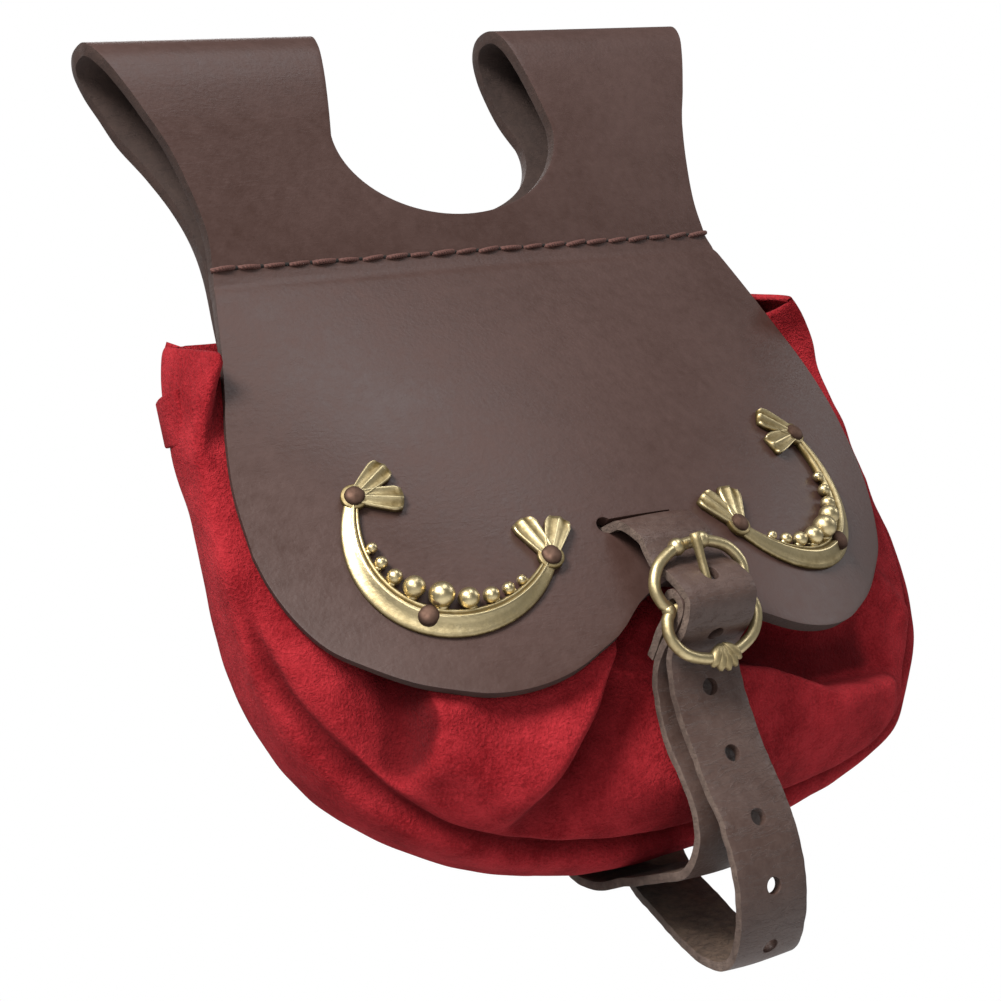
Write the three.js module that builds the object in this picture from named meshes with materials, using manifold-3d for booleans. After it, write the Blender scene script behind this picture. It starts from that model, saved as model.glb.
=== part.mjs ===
// Medieval belt pouch: a brown leather flap with two belt loops, a red suede bag, two cast
// brass crescents and a buckled strap. Millimetres, +Z up, +Y towards the wearer's body.
// The origin is the centre line of the belt that the two loops hang on.
import * as THREE from 'three';
import { mergeVertices } from 'three/addons/utils/BufferGeometryUtils.js';
import Module from 'manifold-3d';

const wasm = await Module();
wasm.setup();

// Driving dimensions of the leather body
const leatherThickness = 3.0;
const stitchHalfWidth = 70;
const flapLength = 117;
const flapHalfWidth = 85.8;
const flapLeanAtStitch = 30.3;
const flapLeanAtLobes = 19.1;
const flapCurveRadius = 163.5;
const loopHeight = 61.6;
const loopSlant = 1.6;
const loopDepth = 24.4;
const loopHalfWidth = 84.6;
const gapHalfWidth = 31.6;
const gapTopHalfWidth = 26;
const gapRoundHeight = 22;
const gapBottomHeight = 9.8;
const backPanelDrop = 40;
const layerGap = 0.3;
const beltCentreBack = 11;
const beltCentreUp = 34;

// Driving dimensions of the suede bag
const suedeThickness = 1.5;
const bagHalfWidth = 88.5;
const bagDrop = 142;
const bagSideDepth = 28;
const bagBackY = 8.7;
const bagMouthDrop = 15;
const bagFrontMouthDrop = 21;
const bagBellyDepth = 40.5;
const bagFocusDrop = 82;
const bagFlapClearance = 2.2;
const pleatDepth = 5;

// Driving dimensions of the straps
const strapWidth = 18;
const strapThickness = 2.0;
const strapHoleRadius = 1.9;
const strapHolePitch = 14.6;
const slitDown = 85.4;
const slitClearance = 0.6;
const slitHeight = 4.4;
const slitRise = 0.7;

// Driving dimensions of the brass fittings
const crescentRadius = 25.4;
const crescentCentreAcross = 44;
const crescentCentreDown = 77.9;
const crescentBandWidth = 6.2;
const crescentThickness = 1.2;
const crescentRidge = 1.9;
const petalLength = 11.5;
const petalWidth = 6.0;
const ballRadius = 3.1;
const rivetShankRadius = 1.2;
const rivetHeadRadius = 2.7;
const rivetHeadHeight = 1.5;
const rivetClearance = 0.3;
const seatGap = 0.3;
const buckleHalfWidth = 12.3;
const buckleHalfHeight = 12.6;
const buckleWireRadius = 1.3;
const buckleY = -56.2;
const buckleZ = -96.6;
const pinRadius = 1.0;

const degree = Math.PI / 180;
const vec = (x, y, z) => new THREE.Vector3(x, y, z);
const lerp = THREE.MathUtils.lerp;
const clamp = THREE.MathUtils.clamp;

// Reads one column of a table of rows at the place s of its key column, in straight steps
function readTable(rows, key, column, s) {
  let i = 0;
  while (i < rows.length - 2 && s > rows[i + 1][key]) i += 1;
  const share = clamp((s - rows[i][key]) / (rows[i + 1][key] - rows[i][key]), 0, 1);
  return lerp(rows[i][column], rows[i + 1][column], share);
}

// Turns a geometry into a solid for cuts and joins
function toSolid(geometry) {
  const plain = geometry.clone();
  for (const name of Object.keys(plain.attributes)) {
    if (name !== 'position') plain.deleteAttribute(name);
  }
  const merged = mergeVertices(plain, 1e-4);
  const mesh = new wasm.Mesh({
    numProp: 3,
    vertProperties: new Float32Array(merged.attributes.position.array),
    triVerts: new Uint32Array(merged.index.array),
  });
  return new wasm.Manifold(mesh);
}

function toGeometry(solid) {
  const mesh = solid.getMesh();
  const geometry = new THREE.BufferGeometry();
  geometry.setAttribute('position', new THREE.BufferAttribute(new Float32Array(mesh.vertProperties), 3));
  geometry.setIndex(new THREE.BufferAttribute(new Uint32Array(mesh.triVerts), 1));
  return geometry;
}

// A wall of even thickness behind a grid of outer points: rows[i][j], with rows running down
// and columns running so that the outer side is on the right hand of the turn row to column
function wallFromGrid(rows, thickness) {
  const positions = rows.flat().flatMap((p) => [p.x, p.y, p.z]);
  const columns = rows[0].length;
  const index = [];
  for (let i = 0; i < rows.length - 1; i += 1) {
    for (let j = 0; j < columns - 1; j += 1) {
      const a = i * columns + j;
      const b = a + columns;
      index.push(a, b, a + 1, a + 1, b, b + 1);
    }
  }
  const raw = new THREE.BufferGeometry();
  raw.setAttribute('position', new THREE.Float32BufferAttribute(positions, 3));
  raw.setIndex(index);
  const outer = mergeVertices(raw, 1e-3);
  const faces = [];
  const source = outer.index.array;
  for (let k = 0; k < source.length; k += 3) {
    const [a, b, c] = [source[k], source[k + 1], source[k + 2]];
    if (a !== b && b !== c && a !== c) faces.push([a, b, c]);
  }
  outer.setIndex(faces.flat());
  outer.computeVertexNormals();
  const count = outer.attributes.position.count;
  const all = [...outer.attributes.position.array];
  for (let k = 0; k < count; k += 1) {
    const p = vec().fromBufferAttribute(outer.attributes.position, k);
    const n = vec().fromBufferAttribute(outer.attributes.normal, k);
    p.addScaledVector(n, -thickness);
    all.push(p.x, p.y, p.z);
  }
  const edges = new Set(faces.flatMap(([a, b, c]) => [`${a},${b}`, `${b},${c}`, `${c},${a}`]));
  const closed = [];
  for (const [a, b, c] of faces) {
    closed.push(a, b, c, a + count, c + count, b + count);
    for (const [p, q] of [[a, b], [b, c], [c, a]]) {
      if (!edges.has(`${q},${p}`)) closed.push(q, p, p + count, q, p + count, q + count);
    }
  }
  const geometry = new THREE.BufferGeometry();
  geometry.setAttribute('position', new THREE.Float32BufferAttribute(all, 3));
  geometry.setIndex(closed);
  return geometry;
}

// The flap's front face. u runs across from the middle, v runs down from the stitching.
const flapSteps = 160;
const flapReach = 1.4;
const easeIntoLean = 4;
const flapSpine = [vec(0, 0, 0)];
function flapLean(v) {
  const share = v / flapLength;
  const fall = (flapLeanAtStitch - flapLeanAtLobes) * (0.32 * share + 0.68 * share * share);
  return (flapLeanAtStitch - fall) * THREE.MathUtils.smoothstep(v, -easeIntoLean / 2, easeIntoLean) * degree;
}
for (let i = 1; i <= flapSteps; i += 1) {
  const step = (flapLength * flapReach) / flapSteps;
  const lean = flapLean((i - 0.5) * step);
  const last = flapSpine[i - 1];
  flapSpine.push(vec(0, last.y - Math.sin(lean) * step, last.z - Math.cos(lean) * step));
}
function flapPoint(u, v) {
  const place = clamp(v / (flapLength * flapReach), 0, 0.9999) * flapSteps;
  const i = Math.floor(place);
  const spine = flapSpine[i].clone().lerp(flapSpine[i + 1], place - i);
  const share = v / flapLength;
  const bend = (1.147 * share - 0.147 * share * share) / flapCurveRadius;
  if (Math.abs(bend) < 1e-6) return vec(u, spine.y, spine.z);
  const back = (1 - Math.cos(bend * u)) / bend;
  const lean = flapLean(v);
  return vec(Math.sin(bend * u) / bend, spine.y + back * Math.cos(lean), spine.z - back * Math.sin(lean));
}
function flapNormal(u, v) {
  const across = flapPoint(u + 0.5, v).sub(flapPoint(u - 0.5, v));
  const down = flapPoint(u, v + 0.5).sub(flapPoint(u, v - 0.5));
  return down.cross(across).normalize();
}
// A point that stands off the flap's front face, or behind it where out is negative
function offFlap(u, v, out) {
  return flapPoint(u, v).addScaledVector(flapNormal(u, v), out);
}

// The flap's outline: the sides as shares of flapHalfWidth, then the two lobes and the notch
const flapSides = [
  { down: 0.0, across: stitchHalfWidth / flapHalfWidth },
  { down: 0.035, across: 0.828 },
  { down: 0.145, across: 0.867 },
  { down: 0.255, across: 0.909 },
  { down: 0.363, across: 0.956 },
  { down: 0.47, across: 0.988 },
  { down: 0.595, across: 1.0 },
];
const flapLobes = [
  { across: 0.0, down: 0.862 },
  { across: 0.065, down: 0.877 },
  { across: 0.12, down: 0.899 },
  { across: 0.153, down: 0.918 },
  { across: 0.203, down: 0.946 },
  { across: 0.268, down: 0.967 },
  { across: 0.338, down: 0.988 },
  { across: 0.41, down: 0.999 },
  { across: 0.49, down: 1.0 },
  { across: 0.577, down: 0.988 },
  { across: 0.652, down: 0.963 },
  { across: 0.746, down: 0.923 },
  { across: 0.84, down: 0.864 },
  { across: 0.912, down: 0.808 },
  { across: 0.961, down: 0.736 },
  { across: 0.99, down: 0.658 },
  { across: 1.0, down: 0.595 },
];
const flapRows = 8;
const leatherColumns = 16;

// The belt loop seen from its end, as shares of loopDepth and loopHeight, from the stitching
// up the front, over the top and down the back; across is the half-width's share of loopHalfWidth
const loopProfile = [
  { back: 0.013, up: 0.162, across: 0.82 },
  { back: 0.074, up: 0.487, across: 0.863 },
  { back: 0.11, up: 0.65, across: 0.908 },
  { back: 0.18, up: 0.812, across: 0.955 },
  { back: 0.27, up: 0.915, across: 0.985 },
  { back: 0.41, up: 0.98, across: 1.0 },
  { back: 0.6, up: 1.0, across: 1.0 },
  { back: 0.79, up: 0.988, across: 1.0 },
  { back: 0.93, up: 0.94, across: 0.99 },
  { back: 1.0, up: 0.855, across: 0.965 },
  { back: 1.0, up: 0.76, across: 0.935 },
  { back: 0.95, up: 0.64, across: 0.905 },
  { back: 0.79, up: 0.487, across: 0.863 },
  { back: 0.62, up: 0.325, across: 0.83 },
  { back: 0.425, up: 0.162, across: 0.82 },
];
const backFaceY = leatherThickness * 2 + layerGap;
const backPanelRows = [
  { drop: 0.0, behind: 0.0 },
  { drop: 0.3, behind: 0.1 },
  { drop: 1.0, behind: 0.4 },
];
const loopRowsPerStep = 1.4;

function leatherBody() {
  const shares = Array.from({ length: leatherColumns + 1 }, (_, j) => {
    return Math.sin((j / leatherColumns - 0.5) * Math.PI);
  });
  const rows = [];
  for (let i = flapRows; i >= 1; i -= 1) {
    rows.push(shares.map((share) => {
      const v = readTable(flapLobes, 'across', 'down', Math.abs(share)) * flapLength * (i / flapRows);
      return flapPoint(share * readTable(flapSides, 'down', 'across', v / flapLength) * flapHalfWidth, v);
    }));
  }
  const section = [vec(stitchHalfWidth, 0, 0)];
  for (const row of loopProfile) {
    section.push(vec(row.across * loopHalfWidth, row.back * loopDepth, row.up * loopHeight));
  }
  for (const row of backPanelRows) {
    section.push(vec(stitchHalfWidth, backFaceY + row.behind, -row.drop * backPanelDrop));
  }
  const curve = new THREE.CatmullRomCurve3(section, false, 'centripetal');
  const steps = Math.round((section.length - 1) * loopRowsPerStep);
  for (let i = 0; i <= steps; i += 1) {
    const at = curve.getPoint(i / steps);
    rows.push(shares.map((share) => {
      const slant = (loopSlant * Math.max(at.z, 0) * share) / loopHeight;
      return vec(share * at.x, at.y, at.z + slant);
    }));
  }
  return toSolid(wallFromGrid(rows.reverse(), leatherThickness));
}

// The U between the loops is cut through both layers
function loopGap() {
  const roundTop = gapBottomHeight + gapRoundHeight;
  const past = loopHeight + 10;
  const shape = new THREE.Shape();
  shape.moveTo(gapTopHalfWidth, past);
  shape.lineTo(gapTopHalfWidth, loopHeight);
  shape.lineTo(gapHalfWidth, roundTop);
  shape.absellipse(0, roundTop, gapHalfWidth, gapRoundHeight, 0, Math.PI, true, 0);
  shape.lineTo(-gapTopHalfWidth, loopHeight);
  shape.lineTo(-gapTopHalfWidth, past);
  const depth = loopDepth + 20;
  const geometry = new THREE.ExtrudeGeometry(shape, { depth, bevelEnabled: false, curveSegments: 12 });
  geometry.rotateX(Math.PI / 2);
  geometry.translate(0, loopDepth + 10, 0);
  return toSolid(geometry);
}

// Lays a tool that is modelled round the origin, with +Z out, onto the flap's front face
function ontoFlap(geometry, u, v) {
  const normal = flapNormal(u, v);
  const across = flapPoint(u + 0.5, v).sub(flapPoint(u - 0.5, v)).normalize();
  const up = normal.clone().cross(across);
  const matrix = new THREE.Matrix4().makeBasis(across, up, normal).setPosition(flapPoint(u, v));
  return geometry.applyMatrix4(matrix);
}

function rod(radius, from, to, sides) {
  const geometry = new THREE.CylinderGeometry(radius, radius, to - from, sides);
  geometry.rotateX(Math.PI / 2);
  return geometry.translate(0, 0, (from + to) / 2);
}

// The three rivets of one crescent, as angles on its circle and shares of its radius
const crescentRivets = [
  { name: 'outer', angle: 141.8, reach: 0.865 },
  { name: 'inner', angle: -33.8, reach: 0.865 },
  { name: 'middle', angle: 234.7, reach: 0.86 },
];
function rivetPlace(rivet, side) {
  const reach = rivet.reach * crescentRadius;
  const across = -crescentCentreAcross + Math.cos(rivet.angle * degree) * reach;
  return { u: -side * across, v: crescentCentreDown - Math.sin(rivet.angle * degree) * reach };
}

function cutLeather() {
  let body = leatherBody().subtract(loopGap());
  const width = strapWidth + slitClearance * 2;
  const slit = new THREE.BoxGeometry(width, slitHeight, leatherThickness * 4);
  body = body.subtract(toSolid(ontoFlap(slit, 0, slitDown - slitRise)));
  const punched = rod(slitHeight * 0.55, -leatherThickness * 2, leatherThickness * 2, 10);
  body = body.subtract(toSolid(ontoFlap(punched, -width / 2 + 0.8, slitDown - slitRise)));
  for (const side of [-1, 1]) {
    for (const rivet of crescentRivets) {
      const { u, v } = rivetPlace(rivet, side);
      const hole = rod(rivetShankRadius + rivetClearance, -leatherThickness * 2, leatherThickness * 2, 8);
      body = body.subtract(toSolid(ontoFlap(hole, u, v)));
    }
  }
  return toGeometry(body);
}

// The bag's front seam, from the mouth's corner down the side to the middle of the bottom.
// across, down and forward are shares of bagHalfWidth, bagDrop and bagSideDepth; spread is how
// much further the right side reaches; roll is how far the side wall bulges past the seam and
// tuck how far its back edge lies outside it, both as shares of bagSideDepth.
const bagSeam = [
  { at: 0.0, across: 0.915, down: 0.175, forward: 0.66, spread: 0.0, roll: 0.0, tuck: 0.06 },
  { at: 0.07, across: 0.946, down: 0.24, forward: 0.46, spread: 0.04, roll: 0.03, tuck: 0.04 },
  { at: 0.13, across: 0.972, down: 0.3, forward: 0.34, spread: 0.052, roll: 0.04, tuck: -0.02 },
  { at: 0.22, across: 0.992, down: 0.39, forward: 0.4, spread: 0.055, roll: 0.06, tuck: -0.14 },
  { at: 0.33, across: 1.0, down: 0.5, forward: 0.55, spread: 0.045, roll: 0.05, tuck: -0.18 },
  { at: 0.43, across: 0.98, down: 0.6, forward: 0.66, spread: 0.07, roll: 0.08, tuck: -0.13 },
  { at: 0.52, across: 0.93, down: 0.69, forward: 0.74, spread: 0.1, roll: 0.13, tuck: -0.05 },
  { at: 0.6, across: 0.865, down: 0.77, forward: 0.8, spread: 0.13, roll: 0.17, tuck: 0.0 },
  { at: 0.68, across: 0.765, down: 0.852, forward: 0.87, spread: 0.14, roll: 0.19, tuck: 0.02 },
  { at: 0.77, across: 0.62, down: 0.921, forward: 0.9, spread: 0.215, roll: 0.18, tuck: 0.04 },
  { at: 0.86, across: 0.42, down: 0.972, forward: 0.88, spread: 0.2, roll: 0.2, tuck: 0.08 },
  { at: 0.93, across: 0.21, down: 0.994, forward: 0.82, spread: 0.09, roll: 0.24, tuck: 0.1 },
  { at: 1.0, across: 0.0, down: 1.0, forward: 0.79, spread: 0.0, roll: 0.25, tuck: 0.11 },
];
// The pleats under the lobes, along the seam of one side: where they start, which side they are
// on, how wide they are along the seam and how deep, as a share of pleatDepth
const pleats = [
  { side: -1, at: 0.6, width: 0.035, depth: 0.7 },
  { side: -1, at: 0.72, width: 0.04, depth: 1.0 },
  { side: -1, at: 0.9, width: 0.04, depth: 0.6 },
  { side: 1, at: 0.86, width: 0.045, depth: 0.7 },
  { side: 1, at: 0.66, width: 0.045, depth: 1.0 },
];
const seamRows = 16;
const frontStations = [1.0, 0.8, 0.62, 0.46, 0.33, 0.22, 0.13, 0.06, 0.028, 0.0];
const sideStations = [0.25, 0.5, 0.75, 0.93];
const backStations = [0.0, 0.3, 0.65, 1.0];

function seamPoint(at, side) {
  const read = (column) => readTable(bagSeam, 'at', column, at);
  const spread = side > 0 ? read('spread') : 0;
  return vec(
    side * (read('across') + spread) * bagHalfWidth,
    -read('forward') * bagSideDepth,
    -read('down') * bagDrop,
  );
}
// The direction that points out of the bag, in the plane of its back
function seamOutward(at, side) {
  const along = seamPoint(Math.min(at + 0.04, 1), side).sub(seamPoint(Math.max(at - 0.04, 0), side));
  return at > 0.98 ? vec(0, 0, -1) : vec(-along.z * side, 0, along.x * side).normalize();
}

// How far forward the flap's back face lies over a place on the bag
function flapBackAt(x, z) {
  let u = x;
  let v = -z;
  for (let pass = 0; pass < 8; pass += 1) {
    const p = flapPoint(u, v).addScaledVector(flapNormal(u, v), -leatherThickness);
    u += x - p.x;
    v = clamp(v + (p.z - z), 1, flapLength * 1.3);
  }
  return flapPoint(u, v).addScaledVector(flapNormal(u, v), -leatherThickness).y;
}
function bagFrontAt(x, z, fromSeam) {
  const belly = -bagBellyDepth + 0.0022 * x * x;
  const drape = flapBackAt(x, z) + bagFlapClearance;
  const besideTail = Math.exp(-((x / 15) ** 4)) * (strapThickness + 1.4);
  const tail = besideTail * THREE.MathUtils.smoothstep(-z, 30, 50) * THREE.MathUtils.smoothstep(z, -108, -88);
  const soft = 2;
  const behind = Math.log(Math.exp(belly / soft) + Math.exp((drape + tail) / soft)) * soft;
  return Math.min(behind, fromSeam);
}

function bagRow(i) {
  const side = i < 0 ? -1 : 1;
  const at = 1 - Math.abs(i) / seamRows;
  const seam = seamPoint(at, side);
  const out = seamOutward(at, side);
  const read = (column) => readTable(bagSeam, 'at', column, at);
  const focusShare = THREE.MathUtils.smoothstep(at, 0, 0.8);
  const frontFocus = vec(0, 0, -lerp(bagFrontMouthDrop, bagFocusDrop, focusShare));
  const backFocus = vec(0, bagBackY, -lerp(bagMouthDrop, bagFocusDrop, focusShare));
  const risePlace = lerp(0.03, 0.34, THREE.MathUtils.smoothstep(at, 0.12, 0.75));
  const row = frontStations.map((share) => {
    const p = seam.clone().lerp(frontFocus, share);
    const rise = Math.sin(Math.min(share / risePlace, 1) * Math.PI / 2) ** 0.8;
    const front = bagFrontAt(p.x, p.z, 0);
    let fold = 0;
    for (const pleat of pleats) {
      if (pleat.side !== side) continue;
      const near = Math.exp(-(((at - pleat.at) / pleat.width) ** 2));
      fold += near * pleat.depth * pleatDepth * Math.exp(-(((share - 0.3) / 0.17) ** 2));
    }
    p.y = lerp(seam.y, front, rise) + fold;
    return p;
  });
  const backEdge = seam.clone().addScaledVector(out, read('tuck') * bagSideDepth);
  const mouthLift = (1 - THREE.MathUtils.smoothstep(at, 0, 0.16)) * (-bagMouthDrop - seam.z);
  backEdge.z += mouthLift;
  for (const share of sideStations) {
    const p = seam.clone().lerp(backEdge, share);
    p.addScaledVector(out, read('roll') * bagSideDepth * Math.sin(share * Math.PI));
    p.y = lerp(seam.y, bagBackY, share);
    row.push(p);
  }
  backEdge.y = bagBackY;
  for (const share of backStations) row.push(backEdge.clone().lerp(backFocus, share));
  return row;
}

function suedeBag() {
  const rows = [];
  for (let i = -seamRows; i <= seamRows; i += 1) rows.push(bagRow(i));
  return wallFromGrid(rows.map((row) => row.reverse()), suedeThickness);
}

// A strap swept along its middle line; across is how far the line lies beside the middle
function strap(points, samples) {
  const curve = new THREE.CatmullRomCurve3(points, false, 'centripetal');
  const rows = [];
  for (let i = 0; i <= samples; i += 1) {
    const at = curve.getPointAt(i / samples);
    const along = curve.getTangentAt(i / samples);
    const out = vec(0, -along.z, along.y).normalize().multiplyScalar(strapThickness / 2);
    const left = vec(-strapWidth / 2, 0, 0).add(at).sub(out);
    const right = vec(strapWidth / 2, 0, 0).add(at).sub(out);
    rows.push([left, right]);
  }
  return { curve, solid: toSolid(wallFromGrid(rows, strapThickness)) };
}

// A hole punched through a strap at a share of its length, round or drawn out along it
function punch(curve, share, radius, stretch) {
  const at = curve.getPointAt(share);
  const along = curve.getTangentAt(share);
  along.x = 0;
  along.normalize();
  const out = vec(0, -along.z, along.y);
  const geometry = rod(radius, -strapThickness * 2, strapThickness * 2, 8).scale(1, stretch, 1);
  const matrix = new THREE.Matrix4().makeBasis(vec(1, 0, 0), along, vec(1, 0, 0).cross(along));
  return { solid: toSolid(geometry.applyMatrix4(matrix).translate(at.x, at.y, at.z)), out };
}

// The strap with holes: from behind the flap, out of the slit, through the buckle, down,
// round and up behind the bag
function holeStrap() {
  const behind = -leatherThickness - seatGap - strapThickness / 2 - 0.2;
  const slitMouth = 2.4;
  const points = [
    offFlap(0, slitDown - 26, behind),
    offFlap(0, slitDown - 14, behind),
    offFlap(0, slitDown - 5.5, behind - 0.7),
    offFlap(0, slitDown - 1.2, behind + 0.7),
    offFlap(0, slitDown - 0.1, -leatherThickness / 2),
    offFlap(0, slitDown + 0.9, 1.4),
    offFlap(0, slitDown + slitMouth, 4.6),
    vec(0, -50.4, -81),
    vec(0, -51.5, -84.5),
    vec(0, -53.0, -87.4),
    vec(0, -58.4, -91.6),
    vec(0, -61.6, -96.4),
    vec(0, -58.4, -101.8),
    vec(0, -51, -106.8),
    vec(0, -49.6, -113),
    vec(0, -49.6, -119),
    vec(0, -51.8, -131),
    vec(0, -55.4, -144.8),
    vec(0.2, -55.2, -155),
    vec(0.6, -51.6, -165.4),
    vec(1.8, -44, -172.6),
    vec(3.6, -35, -173.4),
    vec(6.2, -22, -169),
    vec(10.5, -7, -162),
    vec(15, 7, -155),
    vec(18.5, 14.4, -146),
    vec(21, 17.2, -136),
    vec(22, 17.8, -126),
  ];
  const { curve, solid } = strap(points, 58);
  const length = curve.getLength();
  const pinShare = shareNearest(curve, vec(0, -58.6, -91.7));
  let body = solid;
  const holes = Math.floor((length * (1 - pinShare) - strapHolePitch) / strapHolePitch);
  for (let i = 0; i < Math.min(holes, 8); i += 1) {
    const share = pinShare + (i * strapHolePitch) / length;
    body = body.subtract(punch(curve, share, strapHoleRadius, i === 0 ? 2 : 1).solid);
  }
  return toGeometry(body);
}
function shareNearest(curve, target) {
  let best = 0;
  for (let i = 1; i <= 400; i += 1) {
    if (curve.getPointAt(i / 400).distanceTo(target) < curve.getPointAt(best).distanceTo(target)) {
      best = i / 400;
    }
  }
  return best;
}

// The strap that holds the buckle: folded round the bar, down in front of the bag, under its
// bottom and up behind it
function buckleStrap() {
  const wrap = buckleWireRadius + seatGap + 0.2 + strapThickness / 2;
  const points = [vec(0, buckleY + 12.4, buckleZ - 9.2), vec(0, buckleY + 8.4, buckleZ - 5.4)];
  points.push(vec(0, buckleY + 4.6, buckleZ - 2.6));
  for (const angle of [-15, 30, 75, 120, 165, 205]) {
    points.push(vec(0, buckleY + Math.cos(angle * degree) * wrap, buckleZ + Math.sin(angle * degree) * wrap));
  }
  points.push(vec(0, buckleY + 2.2, buckleZ - 5.1), vec(0, buckleY + 7.6, buckleZ - 8.3));
  points.push(
    vec(0, -44.6, -109.4),
    vec(0, -42.6, -116),
    vec(0, -42.6, -123.4),
    vec(0, -44.6, -131),
    vec(0, -46.7, -139.5),
    vec(0, -45, -147),
    vec(0, -38.4, -152.4),
    vec(0, -28, -153.2),
    vec(0, -14, -153.4),
    vec(0, 0, -153.2),
    vec(0, 8, -149.6),
    vec(0, 11.2, -142.6),
    vec(0, 11.2, -130),
    vec(0, 11, -110),
    vec(0, 10.6, -92),
  );
  const { solid } = strap(points, 64);
  const slot = new THREE.BoxGeometry(pinRadius * 2 + 2.6, wrap * 3, wrap * 3.2);
  slot.translate(0, buckleY - wrap * 0.35, buckleZ + wrap * 0.45);
  return toGeometry(solid.subtract(toSolid(slot)));
}

// One crescent in its own plane, +Y up and +Z out, with its opening to the upper right.
// Then it is bent onto the flap, so that it sits on it all over.
const crescentFrom = 141.8;
const crescentTo = -33.8 + 360;
const balls = [
  { at: 0.19, size: 0.44 },
  { at: 0.26, size: 0.52 },
  { at: 0.335, size: 0.62 },
  { at: 0.42, size: 0.86 },
  { at: 0.53, size: 1.0 },
  { at: 0.635, size: 0.82 },
  { at: 0.725, size: 0.64 },
  { at: 0.8, size: 0.5 },
  { at: 0.865, size: 0.4 },
];
const bandSteps = 14;

function crescentBandWidthAt(share) {
  return crescentBandWidth * (0.42 + 0.58 * Math.sin(share * Math.PI) ** 0.8);
}
function crescentBand() {
  const rows = [];
  for (let i = 0; i <= bandSteps; i += 1) {
    const share = i / bandSteps;
    const angle = lerp(crescentFrom, crescentTo, share) * degree;
    const width = crescentBandWidthAt(share);
    const outer = crescentRadius - 0.9 * Math.cos(share * 2 * Math.PI) - 0.9;
    const profile = [
      [outer, 0],
      [outer - 0.2, crescentThickness],
      [outer - width * 0.42, crescentThickness + crescentRidge * (0.35 + 0.65 * Math.sin(share * Math.PI))],
      [outer - width * 0.86, crescentThickness * 1.5],
      [outer - width, crescentThickness],
      [outer - width, 0],
    ];
    rows.push(profile.map(([r, h]) => vec(Math.cos(angle) * r, Math.sin(angle) * r, h)));
  }
  return closedTube(rows);
}
// Closes a stack of rings, each a loop of points, with fans at both ends
function closedTube(rings) {
  const n = rings[0].length;
  const positions = rings.flat().flatMap((p) => [p.x, p.y, p.z]);
  const index = [];
  for (let i = 0; i < rings.length - 1; i += 1) {
    for (let j = 0; j < n; j += 1) {
      const a = i * n + j;
      const b = i * n + ((j + 1) % n);
      index.push(a, a + n, b, b, a + n, b + n);
    }
  }
  const last = (rings.length - 1) * n;
  for (let j = 1; j < n - 1; j += 1) {
    index.push(0, j, j + 1);
    index.push(last, last + j + 1, last + j);
  }
  const geometry = new THREE.BufferGeometry();
  geometry.setAttribute('position', new THREE.Float32BufferAttribute(positions, 3));
  geometry.setIndex(index);
  return outwards(geometry);
}
// Turns a closed mesh round if its faces point in
function outwards(geometry) {
  const p = geometry.attributes.position;
  const index = [...geometry.index.array];
  let volume = 0;
  for (let k = 0; k < index.length; k += 3) {
    const [a, b, c] = [0, 1, 2].map((m) => vec().fromBufferAttribute(p, index[k + m]));
    volume += a.dot(b.cross(c));
  }
  if (volume < 0) {
    for (let k = 0; k < index.length; k += 3) [index[k], index[k + 1]] = [index[k + 1], index[k]];
  }
  geometry.setIndex(index);
  return geometry;
}

// A fluted petal of a fishtail, from the rivet's boss outwards along +X
function petal() {
  const rings = [0, 0.5, 1.0].map((share) => {
    const x = share * petalLength;
    const half = petalWidth * (0.22 + 0.28 * share);
    const high = crescentThickness * (1.5 - 0.3 * share);
    const dip = high - 0.55 * share;
    return [
      vec(x - share * 0.8, -half, 0),
      vec(x - share * 0.8, -half, high),
      vec(x, -half * 0.45, dip),
      vec(x + share * 0.4, 0, high * 1.1),
      vec(x, half * 0.45, dip),
      vec(x - share * 0.8, half, high),
      vec(x - share * 0.8, half, 0),
    ];
  });
  return closedTube(rings);
}

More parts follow.
